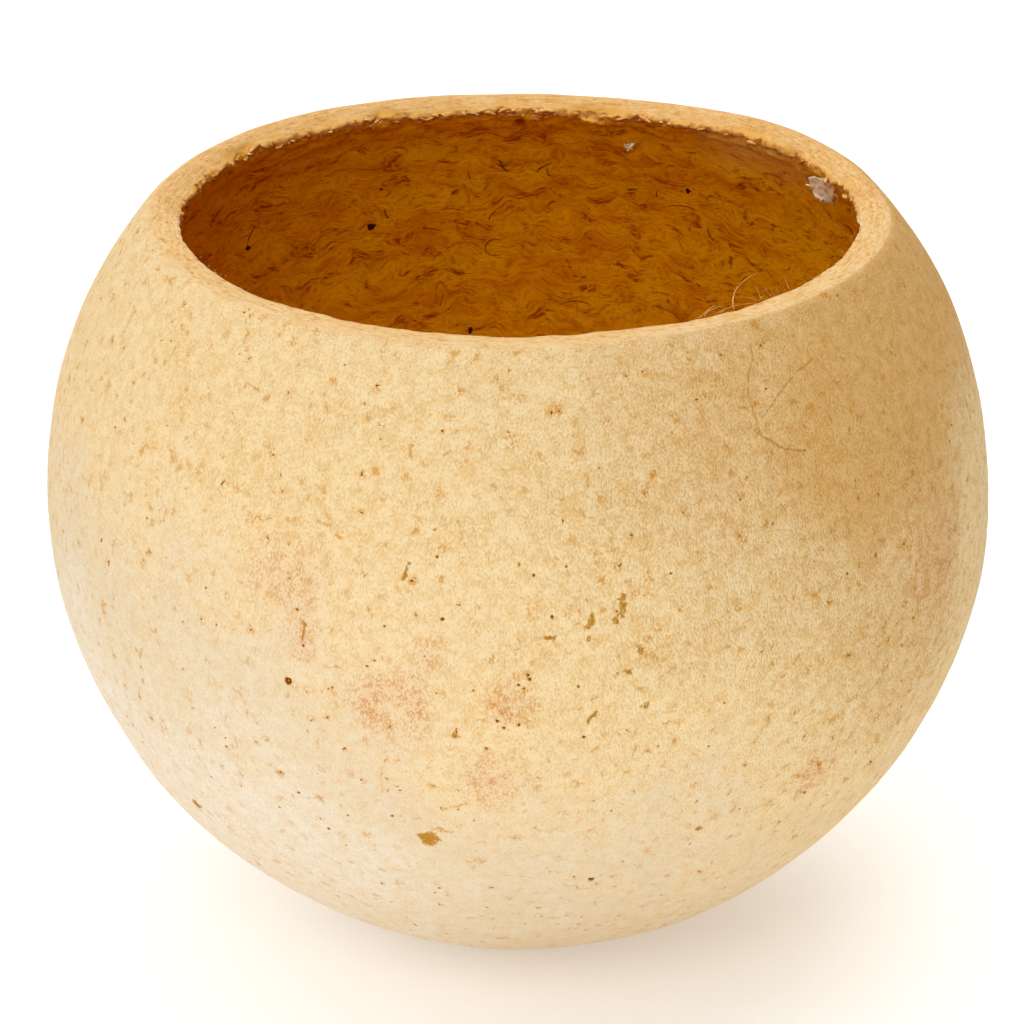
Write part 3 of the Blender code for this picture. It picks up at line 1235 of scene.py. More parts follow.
@dataclass(frozen=True)
class CutFinish:
    """The sawn face of the wall: pale fibres with streaks left by the cut, torn at its inner edge.
    Its hollows and steep faces near the torn lip carry painted shade, and its front inner edge a painted
    highlight.
    """

    pale: Colour = srgb(242, 206, 148)
    tan: Colour = srgb(226, 172, 100)
    groove: Colour = srgb(192, 122, 44)
    # Pale crests of the streaks, and the painted highlight along the front inner edge.
    pale_crest_and_edge_highlight: Colour = srgb(252, 226, 176)
    torn: Colour = srgb(238, 180, 88)
    # Painted shade for the hollows and steep faces of the torn lip.
    painted_cavity_shade: Colour = srgb(178, 98, 12)

    def tone(self, point: Vector, surface: RindSurface) -> float:
        """How tan the cut is at a turned point: most at the back."""
        cloud = 0.35 * rough(point, 3.0 * MM, Vector((3.6, 7.2, 1.4)))
        return 0.25 + 0.45 * surface.back_share(point) + cloud

    def look(self, shader: Shader) -> Look:
        """Build the cut's colour, roughness and bump.

        Args:
            shader: The material being built.

        Returns:
            The cut's look.
        """
        run = shader.attribute("run")
        back = shader.attribute("stain")
        crumbs = shader.noise(0.36 * MM, 3.0)
        streaks = shader.mix_value(0.35, shader.noise(0.17 * MM, 2.0, shader.along_rim(run)), crumbs)
        colour = shader.mix(shader.attribute("tone"), self.pale, self.tan)
        colour = shader.mix(shader.times(shader.rise(streaks, 0.42, 0.60), 0.55), colour, self.tan)
        crests = shader.times(shader.fall(streaks, 0.38, 0.47), 0.30)
        colour = shader.mix(crests, colour, self.pale_crest_and_edge_highlight)
        grooves = shader.times(shader.rise(streaks, 0.52, 0.64), shader.rise(crumbs, 0.36, 0.60))
        colour = shader.mix(shader.times(grooves, 0.55), colour, self.groove)
        broken = shader.times(shader.fall(run, 0.1, 0.9), back)
        colour = shader.mix(shader.times(broken, 0.8), colour, self.torn)
        chipped = shader.attribute("tan")
        colour = shader.mix(shader.times(chipped, 0.9), colour, self.torn)
        # Painted shade in the hollows of the crumbly noise near the inner edge, most at the back.
        hollow = shader.times(shader.fall(run, -0.1, 0.7), shader.rise(crumbs, 0.50, 0.60))
        hollow = shader.times(hollow, shader.mix_value(back, 0.35, 0.75))
        colour = shader.mix(hollow, colour, self.painted_cavity_shade)
        # Painted shade on faces near the torn lip that turn sideways or down.
        lip = shader.times(shader.fall(run, 0.1, 0.8), back)
        painted_steep_shade = shader.times(shader.fall(shader.facing_up(), 0.10, 0.80), lip)
        colour = shader.mix(shader.times(painted_steep_shade, 0.60), colour, self.painted_cavity_shade)
        # Painted highlight along the front inner edge, at the front only.
        painted_edge_highlight = shader.times(shader.fall(run, 0.05, 0.25), shader.fall(crumbs, 0.45, 0.60))
        front = shader.fall(back, 0.0, 0.6)
        colour = shader.mix(shader.times(painted_edge_highlight, front), colour, self.pale_crest_and_edge_highlight)
        furrows = shader.times(streaks, 0.35)
        height = shader.math("ADD", furrows, shader.times(crumbs, 0.45))
        return Look(colour, 0.85, height)


@dataclass(frozen=True)
class FeltFinish:
    """The amber-brown, felted inner wall, with dark wavy fibres and golden patches."""

    amber: Colour = srgb(236, 162, 2)
    brown: Colour = srgb(212, 126, 1)
    gold: Colour = srgb(246, 186, 6)
    dark: Colour = srgb(148, 48, 0)
    dusty: Colour = srgb(240, 196, 110)

    def haze(self, point: Vector) -> float:
        """How dusty the wall is at a turned point: a pale haze lies under the back right of the cut.

        Args:
            point: The turned point.

        Returns:
            The share, from 0 to 1.
        """
        azimuth = math.degrees(math.atan2(point.y, point.x))
        along = ease(17.0 - abs(azimuth - 46.0), 0.0, 12.0)
        return along * ease(point.z, 0.0495, 0.0545)

    def tone(self, point: Vector) -> float:
        """How golden the wall is at a turned point, in broad soft patches, with painted light as more gold
        towards the left side and most towards the right side.

        Args:
            point: The turned point.

        Returns:
            The share, from 0 to about 1.
        """
        level = Vector((point.x, point.y, point.z * 1.8))
        patches = ease(rough(level, 6.0 * MM, Vector((2.8, 5.9, 7.7))), -0.5, 0.75)
        patches *= 0.35 + 0.65 * ease(point.z, 0.030, 0.044)
        # Painted light: more gold towards the left side and most towards the right side.
        sides = 0.25 * ease(-point.x, -0.010, 0.020) + 0.5 * ease(point.x, 0.010, 0.022)
        return patches + sides

    def stain(self, point: Vector) -> float:
        """How dark the wall is at a turned point, in clouds drawn out along it.

        Args:
            point: The turned point.

        Returns:
            The share, from 0 to about 1.4.
        """
        level = Vector((point.x, point.y, point.z * 2.2))
        clouds = ease(rough(level, 3.2 * MM, Vector((8.1, 1.6, 3.9))), 0.05, 0.85)
        return clouds + 0.45 * ease(point.x, -0.006, 0.018) * ease(0.046 - point.z, 0.0, 0.014)

    def look(self, shader: Shader) -> Look:
        """Build the inner wall's colour, roughness and bump.

        Args:
            shader: The material being built.

        Returns:
            The inner wall's look.
        """
        push = shader.warped(shader.place, 2.6 * MM, 3.4 * MM)
        drawn = shader.stretched(push, (0.40, 0.40, 1.10))
        fuzz = shader.noise(0.22 * MM, 2.0, drawn)
        dust = shader.noise(0.13 * MM, 0.0)
        swirls = shader.noise(1.0 * MM, 3.0, shader.stretched(push, (0.40, 0.40, 1.20)))
        soft = shader.rise(swirls, 0.40, 0.66)
        colour = shader.mix(shader.times(soft, 0.85), self.amber, self.brown)
        colour = shader.mix(shader.times(shader.attribute("tone"), 0.60), colour, self.gold)
        clouded = shader.times(shader.attribute("stain"), shader.rise(swirls, 0.48, 0.64))
        shade = shader.times(clouded, 0.60)
        feathery = shader.noise(1.1 * MM, 3.0, shader.stretched(push, (0.42, 0.42, 1.30)), 0.66)
        clots = shader.times(shader.rise(feathery, 0.50, 0.66), 0.74)
        shade = shader.most(shade, clots)
        clumps = shader.rise(swirls, 0.44, 0.62)
        level = shader.noise(1.9 * MM, 1.0, shader.stretched(push, (0.60, 0.60, 1.2)))
        crossing = shader.math("ABSOLUTE", shader.math("SUBTRACT", level, 0.5))
        wisp = shader.times(shader.fall(crossing, 0.0, 0.05), clumps)
        shade = shader.most(shade, shader.times(wisp, 0.55))
        fibres = shader.times(shader.rise(fuzz, 0.46, 0.70), 0.34)
        broken = shader.mix_value(shader.rise(fuzz, 0.36, 0.64), 0.30, 1.20)
        shade = shader.most(shader.times(shade, broken), fibres)
        shade = shader.math("ADD", shade, shader.times(shader.rise(dust, 0.45, 0.70), 0.16))
        colour = shader.mix(shade, colour, self.dark)
        dusted = shader.mix_value(shader.rise(dust, 0.40, 0.62), 0.20, 0.70)
        hazy = shader.times(shader.attribute("dark"), dusted)
        colour = shader.mix(hazy, colour, self.dusty)
        roughness = shader.mix_value(fuzz, 0.55, 0.75)
        height = shader.math("SUBTRACT", 1.0, shader.times(fuzz, 0.9))
        return Look(colour, roughness, height)


@dataclass(frozen=True)
class RindFinish:
    """The rind's finish: felt inside, sawn face on the cut and speckled skin outside."""

    skin: SkinFinish = SkinFinish()
    cut: CutFinish = CutFinish()
    felt: FeltFinish = FeltFinish()
    relief: float = 0.085 * MM
    sheen: float = 0.05

    def tones(self, point: Vector, run: float, surface: RindSurface) -> tuple[float, float]:
        """The broad tone and the stain of the rind at a turned point, each from 0 to 1.

        Args:
            point: The turned point.
            run: Its distance from the cut's inner edge.
            surface: The rind's surface.

        Returns:
            The tone and the stain.
        """
        if run < -0.3 * MM:
            return self.felt.tone(point), self.felt.stain(point)
        if run < surface.cut_width - 0.3 * MM:
            return self.cut.tone(point, surface), surface.back_share(point)
        return self.skin.tone(point), self.skin.stain(point, surface)

    def dress(self, shader: Shader, look: Look) -> Material:
        """Set a material's shader to a look."""
        shader.principled.inputs["Specular IOR Level"].default_value = self.sheen
        return shader.finish(look.colour, look.roughness, look.height, self.relief)

    def rim(self, shader: Shader, surface: RindSurface) -> Look:
        """Blend all three surfaces by the distance from the cut's inner edge.

        Args:
            shader: The material being built.
            surface: The rind's surface.

        Returns:
            The rim's look.
        """
        skin = self.skin.look(shader)
        cut = self.cut.look(shader)
        felt = self.felt.look(shader)
        ragged = shader.math("SUBTRACT", shader.noise(0.5 * MM, 3.0), 0.5)
        run = shader.math("ADD", shader.attribute("run"), shader.times(ragged, 0.9))
        outer = surface.cut_width / MM
        on_skin = shader.rise(run, outer - 0.95, outer + 0.65)
        on_felt = shader.fall(run, -0.42, -0.22)
        colour = shader.mix(on_skin, cut.colour, skin.colour)
        roughness = shader.mix_value(on_skin, cut.roughness, skin.roughness)
        height = shader.mix_value(on_skin, cut.height, skin.height)
        return Look(
            shader.mix(on_felt, colour, felt.colour),
            shader.mix_value(on_felt, roughness, felt.roughness),
            shader.mix_value(on_felt, height, felt.height))

    def build(self, surface: RindSurface) -> list[Material]:
        """Make the materials in the order of the rind's slots: inside, rim and skin.

        Args:
            surface: The rind's surface.

        Returns:
            The three materials.
        """
        inside = Shader("rind_inside")
        rim = Shader("rind_rim")
        skin = Shader("rind_skin")
        return [
            self.dress(inside, self.felt.look(inside)),
            self.dress(rim, self.rim(rim, surface)),
            self.dress(skin, self.skin.look(skin)),
        ]


@dataclass(frozen=True)
class FibreFinish:
    """A finish for small dry strands and scraps, with a little variation along them.
    Parts that face sideways and down take the shaded colour, which is painted shade.
    """

    name: str
    light: Colour
    deep: Colour
    shaded: Colour
    roughness: float

    def build(self) -> Material:
        """Make the finish's material.

        Returns:
            The material.
        """
        shader = Shader(self.name)
        tone = shader.noise(0.6 * MM, 3.0)
        fine = shader.noise(0.12 * MM, 2.0)
        colour = shader.mix(shader.rise(tone, 0.35, 0.65), self.light, self.deep)
        # Painted shade: parts that face sideways and down take the shaded colour.
        colour = shader.mix(shader.fall(shader.facing_up(), -0.3, 0.8), colour, self.shaded)
        roughness = shader.mix_value(fine, self.roughness - 0.1, self.roughness + 0.1)
        shader.principled.inputs["Specular IOR Level"].default_value = 0.1
        return shader.finish(colour, roughness, fine, 0.01 * MM)


@dataclass
class TornFibres:
    """Pale fibres that the cut left standing on the inner edge of the rim.

    Attributes:
        surface: The rind's surface.
        strands: For each strand its azimuth in degrees, the shifts along, inwards and up from its
            root to its bend and to its tip, and its radius, all in millimetres.
    """

    surface: RindSurface
    strands: tuple[tuple[float, tuple[float, float, float], tuple[float, float, float], float], ...] = (
        (-51.7, (0.87, 1.80, 1.10), (4.10, 2.37, 1.20), 0.060),
        (-58.9, (2.52, 0.72, 0.50), (2.32, 0.29, 0.35), 0.050),
        (-58.4, (0.90, 0.40, 0.45), (1.70, 0.50, 0.50), 0.045),
        (-57.6, (0.40, 0.20, 0.40), (1.00, 0.30, 0.60), 0.040),
        (-55.6, (1.88, 0.47, 0.30), (3.48, -0.39, 0.30), 0.040),
        (-54.5, (0.90, 0.30, 0.20), (2.60, 0.50, 0.15), 0.030),
        (-46.3, (-0.41, 0.73, 0.40), (-1.55, 1.06, 0.40), 0.034),
        (-45.5, (0.10, 0.50, 0.40), (0.22, 1.00, 0.90), 0.030),
        (-43.1, (-0.10, 0.30, 0.30), (0.06, 0.68, 0.50), 0.028),
        (-41.0, (0.10, 0.20, 0.25), (0.05, 0.40, 0.40), 0.024),
        (-37.8, (0.20, 0.30, 0.40), (0.32, 0.71, 0.70), 0.028),
    )

    def edge_place(self, azimuth: float, run: float) -> Vector:
        """A place on the finished rim.

        Args:
            azimuth: Azimuth in degrees.
            run: Distance outwards from the cut's inner edge, in metres, and below 0 inside.

        Returns:
            The place, in the pod's frame.
        """
        surface = self.surface
        if run < 0.0:
            angle = surface.inner_angle - run / surface.form.inside_distance(surface.inner_angle)
            return surface.place(surface.turned(azimuth, math.degrees(angle), Zone.INSIDE))
        point = surface.inner_edge + Vector((run, 0.0, 0.0))
        point.rotate(Matrix.Rotation(math.radians(azimuth), 3, "Z"))
        return surface.place(point)

    def local(self, azimuth: float, along: float, inward: float, up: float) -> Vector:
        """A shift given along the rim, inwards and upwards at an azimuth.

        Args:
            azimuth: The azimuth in degrees.
            along: The shift along the rim.
            inward: The shift inwards.
            up: The shift upwards.

        Returns:
            The shift in the pod's frame.
        """
        angle = math.radians(azimuth)
        outward = Vector((math.cos(angle), math.sin(angle), 0.0))
        ahead = Vector((-math.sin(angle), math.cos(angle), 0.0))
        return ahead * along - outward * inward + Vector((0.0, 0.0, up))

    def strand(
            self, bundle: bmesh.types.BMesh, azimuth: float, bend: Vector, tip: Vector,
            radius: float) -> None:
        """Grow one listed strand: bend and tip are shifts along, inwards and up.

        Args:
            bundle: The mesh that the strand joins.
            azimuth: The azimuth of its root in degrees.
            bend: The shift from its root to what draws its middle.
            tip: The shift from its root to its tip.
            radius: Its radius at the root.
        """
        root = self.edge_place(azimuth, 0.05 * MM) - Vector((0.0, 0.0, 0.10 * MM))
        middle = root + self.local(azimuth, *bend)
        end = root + self.local(azimuth, *tip)
        grow_strand(bundle, curved_path(root, middle, end), radius, radius * 0.35, 9, 5)

    def build(self) -> Object:
        """Make the long hair and the torn cluster beside it.

        Returns:
            The fibres' object.
        """
        bundle = bmesh.new()
        for azimuth, bend, tip, radius in self.strands:
            self.strand(bundle, azimuth, Vector(bend) * MM, Vector(tip) * MM, radius * MM)
        return finished("rim_fibres", bundle)


@dataclass
class RimCrumbs:
    """Lumps of torn rind that stand out along the broken inner edge, at the back and sides."""

    fibres: TornFibres
    seed: int = 11
    count: int = 64
    fray_count: int = 60

    def fray(self, heap: bmesh.types.BMesh, draw: random.Random) -> None:
        """Grow one short fibre that hangs from the broken edge.

        Args:
            heap: The mesh that the fibre joins.
            draw: The seeded draw.
        """
        fibres = self.fibres
        azimuth = draw.uniform(-30.0, 210.0)
        length = draw.uniform(0.20, 0.60) * MM
        root = fibres.edge_place(azimuth, draw.uniform(-0.45, 0.25) * MM)
        sway = draw.uniform(-1.0, 1.0) * length
        drop = draw.uniform(-0.6, 0.25) * length
        tip = root + fibres.local(azimuth, sway, draw.uniform(0.1, 0.5) * length, drop)
        middle = root.lerp(tip, 0.5) + Vector([draw.uniform(-0.2, 0.2) * length for _ in range(3)])
        grow_strand(heap, curved_path(root, middle, tip), draw.uniform(0.018, 0.036) * MM, 0.010 * MM, 2, 3)

    def build(self) -> Object:
        """Make the crumbs, each half sunk in the rind, and the fray between them.

        Returns:
            The crumbs' object.
        """
        draw = random.Random(self.seed)
        heap = bmesh.new()
        for _ in range(self.count):
            azimuth = draw.triangular(-5.0, 182.0, 95.0)
            place = self.fibres.edge_place(azimuth, draw.uniform(-0.75, -0.05) * MM)
            made = bmesh.ops.create_uvsphere(heap, u_segments=7, v_segments=5, radius=1.0)
            size = Vector((draw.uniform(0.16, 0.55), draw.uniform(0.10, 0.22), draw.uniform(0.08, 0.20))) * MM
            turn = Matrix.Rotation(math.radians(azimuth + 90.0 + draw.uniform(-25.0, 25.0)), 4, "Z")
            lean = Matrix.Rotation(math.radians(draw.uniform(-30.0, 30.0)), 4, "Y")
            for corner in made["verts"]:
                lumpy = 1.0 + 0.85 * noise.noise(corner.co * 2.1 + Vector((azimuth, 0.0, 0.0)))
                shaped = Vector((corner.co.x * size.x, corner.co.y * size.y, corner.co.z * size.z)) * lumpy
                corner.co = place + turn @ (lean @ shaped)
        for _ in range(self.fray_count):
            self.fray(heap, draw)
        return finished("rim_crumbs", heap)


@dataclass
class InnerBristles:
    """Short dark bristles that lie on the felted inner wall.

    Attributes:
        surface: The rind's surface.
        seed: The seed of the scattered ones.
        scattered: How many are scattered.
        placed: The azimuth, tilt and heading in degrees of those that show best, and their length in
            millimetres.
    """

    surface: RindSurface
    seed: int = 23
    scattered: int = 24
    placed: tuple[tuple[float, float, float, float], ...] = (
        (97.0, 66.9, 100.0, 1.1), (108.6, 72.5, 115.0, 1.2), (94.2, 74.2, 60.0, 1.1),
        (91.6, 65.5, 112.0, 1.6), (87.4, 65.8, 45.0, 1.7), (85.4, 66.2, 100.0, 1.0),
        (61.9, 74.3, 95.0, 1.1), (131.5, 72.4, 85.0, 1.8), (74.0, 68.0, 20.0, 0.9),
    )

    def bristle(
            self, bundle: bmesh.types.BMesh, azimuth: float, tilt: float, heading: float,
            length: float) -> None:
        """Grow one bristle along the wall.

        Args:
            bundle: The mesh that the bristle joins.
            azimuth: Azimuth of its root in degrees.
            tilt: Tilt of its root in degrees.
            heading: Its direction along the wall in degrees: 0 along the wall, 90 straight up.
            length: Its length in metres.
        """
        surface = self.surface
        root = surface.place(surface.turned(azimuth, tilt, Zone.INSIDE))
        inward = (surface.centre - root).normalized()
        along = Vector((0.0, 0.0, 1.0)).cross(inward).normalized()
        upward = inward.cross(along).normalized()
        course = along * math.cos(math.radians(heading)) + upward * math.sin(math.radians(heading))
        bow = inward.cross(course) * (0.22 * length)
        middle = root + course * (0.5 * length) + inward * (0.10 * length) + bow
        tip = root + course * length + inward * (0.12 * length)
        root -= inward * (0.04 * MM)
        grow_strand(bundle, curved_path(root, middle, tip), 0.055 * MM, 0.020 * MM, 4, 4)

    def build(self) -> Object:
        """Make the bristles that show best and the scattered ones.

        Returns:
            The bristles' object.
        """
        draw = random.Random(self.seed)
        bundle = bmesh.new()
        for azimuth, tilt, heading, length in self.placed:
            self.bristle(bundle, azimuth, tilt, heading, length * MM)
        for _ in range(self.scattered):
            place = (draw.uniform(0.0, 360.0), draw.uniform(62.0, 150.0))
            self.bristle(bundle, *place, draw.uniform(0.0, 180.0), draw.uniform(0.5, 1.2) * MM)
        return finished("inner_bristles", bundle)


@dataclass
class WallFibres:
    """Long brown fibres and dark specks of dried pulp that lie on the inner wall.

    Attributes:
        surface: The rind's surface.
        seed: The seed of the scattered fibres.
        count: How many fibres are scattered.
        curl_radius: The radius of the curled fibres, in metres.
        curls: The azimuth and tilt of each curl's middle, half of its width and of its height, all in
            degrees, and how many turns it makes.
        specks: The azimuth and tilt of each speck in degrees, and its radius in millimetres.
    """

    surface: RindSurface
    seed: int = 47
    count: int = 60
    curl_radius: float = 0.045 * MM
    curls: tuple[tuple[float, float, float, float, float], ...] = (
        (93.2, 78.4, 1.50, 1.35, 1.0), (82.3, 88.2, 2.6, 1.6, 0.45), (66.0, 70.5, 2.4, 1.0, 0.5),
    )
    specks: tuple[tuple[float, float, float], ...] = (
        (111.1, 73.6, 0.30), (109.5, 71.9, 0.15), (131.1, 72.9, 0.26), (110.4, 67.2, 0.14),
        (96.4, 91.0, 0.22), (64.4, 66.6, 0.20), (100.8, 88.6, 0.16),
    )

    def wall(self, azimuth: float, tilt: float, lift: float) -> Vector:
        """A place on the inner wall, lifted off it by a distance."""
        point = self.surface.place(self.surface.turned(azimuth, tilt, Zone.INSIDE))
        return point + (self.surface.centre - point).normalized() * lift

    def fibre(
            self, bundle: bmesh.types.BMesh, course: Callable[[float], tuple[float, float]],
            radius: float) -> None:
        """Lay one fibre along a course of azimuths and tilts in degrees, with its ends sunk in the wall.

        Args:
            bundle: The mesh that the fibre joins.
            course: Gives the azimuth and tilt for a share of the length.
            radius: The fibre's radius.
        """

        def path(share: float) -> Vector:
            """The place at a share of the length."""
            azimuth, tilt = course(share)
            return self.wall(azimuth, tilt, radius * (2.2 * math.sin(math.pi * share) - 1.2))

        grow_strand(bundle, path, radius, radius * 0.5, 11, 4)

    def curl(
            self, azimuth: float, tilt: float, wide: float, high: float,
            turns: float) -> Callable[[float], tuple[float, float]]:
        """A course round a loop.

        Args:
            azimuth: The azimuth of the loop's middle in degrees.
            tilt: The tilt of the loop's middle in degrees.
            wide: Half of the loop's width in degrees.
            high: Half of the loop's height in degrees.
            turns: How much of a whole turn the course makes.

        Returns:
            The course, which gives the azimuth and tilt for a share of its length.
        """

        def course(share: float) -> tuple[float, float]:
            """The azimuth and tilt at a share of the length."""
            angle = math.tau * (0.5 - turns * share)
            return azimuth + wide * math.cos(angle), tilt - high * math.sin(angle)

        return course

    def wave(self, draw: random.Random) -> Callable[[float], tuple[float, float]]:
        """A course that runs along the wall and sways up and down.

        Args:
            draw: The seeded draw.

        Returns:
            The course, which gives the azimuth and tilt for a share of its length.
        """
        azimuth, tilt = draw.uniform(0.0, 360.0), draw.uniform(58.0, 125.0)
        length = draw.uniform(1.2, 4.5)
        slope = draw.gauss(0.0, 0.45)
        sway, phase, waves = draw.uniform(0.3, 1.3), draw.uniform(0.0, math.tau), draw.uniform(0.5, 1.4)

        def course(share: float) -> tuple[float, float]:
            """The azimuth and tilt at a share of the length."""
            bend = sway * math.sin(phase + math.tau * waves * share)
            return azimuth + length * share, tilt + slope * length * share + bend

        return course

    def speck(self, bundle: bmesh.types.BMesh, azimuth: float, tilt: float, radius: float) -> None:
        """Set one flat ragged speck on the wall.

        Args:
            bundle: The mesh that the speck joins.
            azimuth: Its azimuth in degrees.
            tilt: Its tilt in degrees.
            radius: Its radius.
        """
        place = self.wall(azimuth, tilt, 0.0)
        made = bmesh.ops.create_uvsphere(bundle, u_segments=16, v_segments=6, radius=1.0)
        turn = (self.surface.centre - place).normalized().to_track_quat("Z", "Y")
        for corner in made["verts"]:
            ragged = radius * (1.0 + 1.3 * noise.noise(corner.co * 2.4 + Vector((azimuth, tilt, 0.0))))
            across = corner.co.xy * ragged
            corner.co = place + turn @ Vector((across.x, across.y, corner.co.z * 0.1 * radius))
            for face in corner.link_faces:
                face.material_index = 1

    def build(self) -> Object:
        """Make the curls and specks that show best, and fibres scattered over the wall.

        Returns:
            The fibres' object.
        """
        draw = random.Random(self.seed)
        bundle = bmesh.new()
        for loop in self.curls:
            self.fibre(bundle, self.curl(*loop), self.curl_radius)
        for azimuth, tilt, radius in self.specks:
            self.speck(bundle, azimuth, tilt, radius * MM)
        for _ in range(self.count):
            self.fibre(bundle, self.wave(draw), draw.uniform(0.016, 0.036) * MM)
        return finished("wall_fibres", bundle)


@dataclass
class PithScraps:
    """A crumpled scrap of white pith and smaller bits, stuck under the cut's inner edge."""

    surface: RindSurface
    thickness: float = 0.07 * MM

    def scrap(
            self, sheet: bmesh.types.BMesh, azimuth: float, tilt: float, width: float, height: float,
            seed: float, peel: float = 0.25) -> None:
        """Add one crumpled scrap that lies against the inner wall.

        Args:
            sheet: The mesh that the scrap joins.
            azimuth: Azimuth of its middle in degrees.
            tilt: Tilt of its middle in degrees.
            width: Its size along the wall.
            height: Its size up the wall.
            seed: A number that gives each scrap its own crumples.
            peel: How far its far end stands off the wall, as a share of its width.
        """
        surface = self.surface
        place = surface.place(surface.turned(azimuth, tilt, Zone.INSIDE))
        inward = (surface.centre - place).normalized()
        along = Vector((0.0, 0.0, 1.0)).cross(inward).normalized()
        upward = inward.cross(along).normalized()
        made = bmesh.ops.create_grid(sheet, x_segments=12, y_segments=12, size=0.5)
        offset = Vector((seed, seed * 0.7, 0.0))
        for corner in made["verts"]:
            x, y = corner.co.x, corner.co.y
            torn = 1.0 + 0.8 * noise.noise(Vector((x * 3.4, y * 3.4, 0.0)) + offset)
            narrow = 0.35 + 0.65 * (y + 0.5)
            crumple = ridged(Vector((x * 3.2, y * 3.2, 0.4)), offset) * 0.15 + 0.10 + peel * (0.5 - x)
            corner.co = (
                place + along * (x * width * torn * narrow) + upward * (y * height * torn)
                + inward * (crumple * width))
        faces = list({face for corner in made["verts"] for face in corner.link_faces})
        bmesh.ops.solidify(sheet, geom=faces, thickness=self.thickness)

    def build(self) -> Object:
        """Make the scrap that shows best and the bits near it.

        Returns:
            The scraps' object.
        """
        sheet = bmesh.new()
        self.scrap(sheet, 26.5, 53.2, 1.6 * MM, 2.7 * MM, 3.0, 0.70)
        self.scrap(sheet, 29.8, 54.5, 0.5 * MM, 0.9 * MM, 8.0)
        self.scrap(sheet, 30.5, 57.0, 0.35 * MM, 0.6 * MM, 5.0)
        self.scrap(sheet, 72.0, 58.0, 0.8 * MM, 0.6 * MM, 12.0)
        return finished("pith_scraps", sheet)


@dataclass(frozen=True)
class Lamp:
    """A square soft light, placed from the middle of the pod.

    Attributes:
        name: Its name.
        place: Its place from the middle of the pod, in metres.
        side: The length of its side in metres.
        power: Its power in watts.
    """

    name: str
    place: tuple[float, float, float]
    side: float
    power: float


@dataclass(frozen=True)
class Fade:
    """How the surroundings grow darker towards one side.

    Attributes:
        start: How far towards the right the fade starts, where 1 is straight to the right.
        end: How far towards the right it ends.
        full: The brightness before it.
        least: The brightness after it.
    """

    start: float
    end: float
    full: float
    least: float


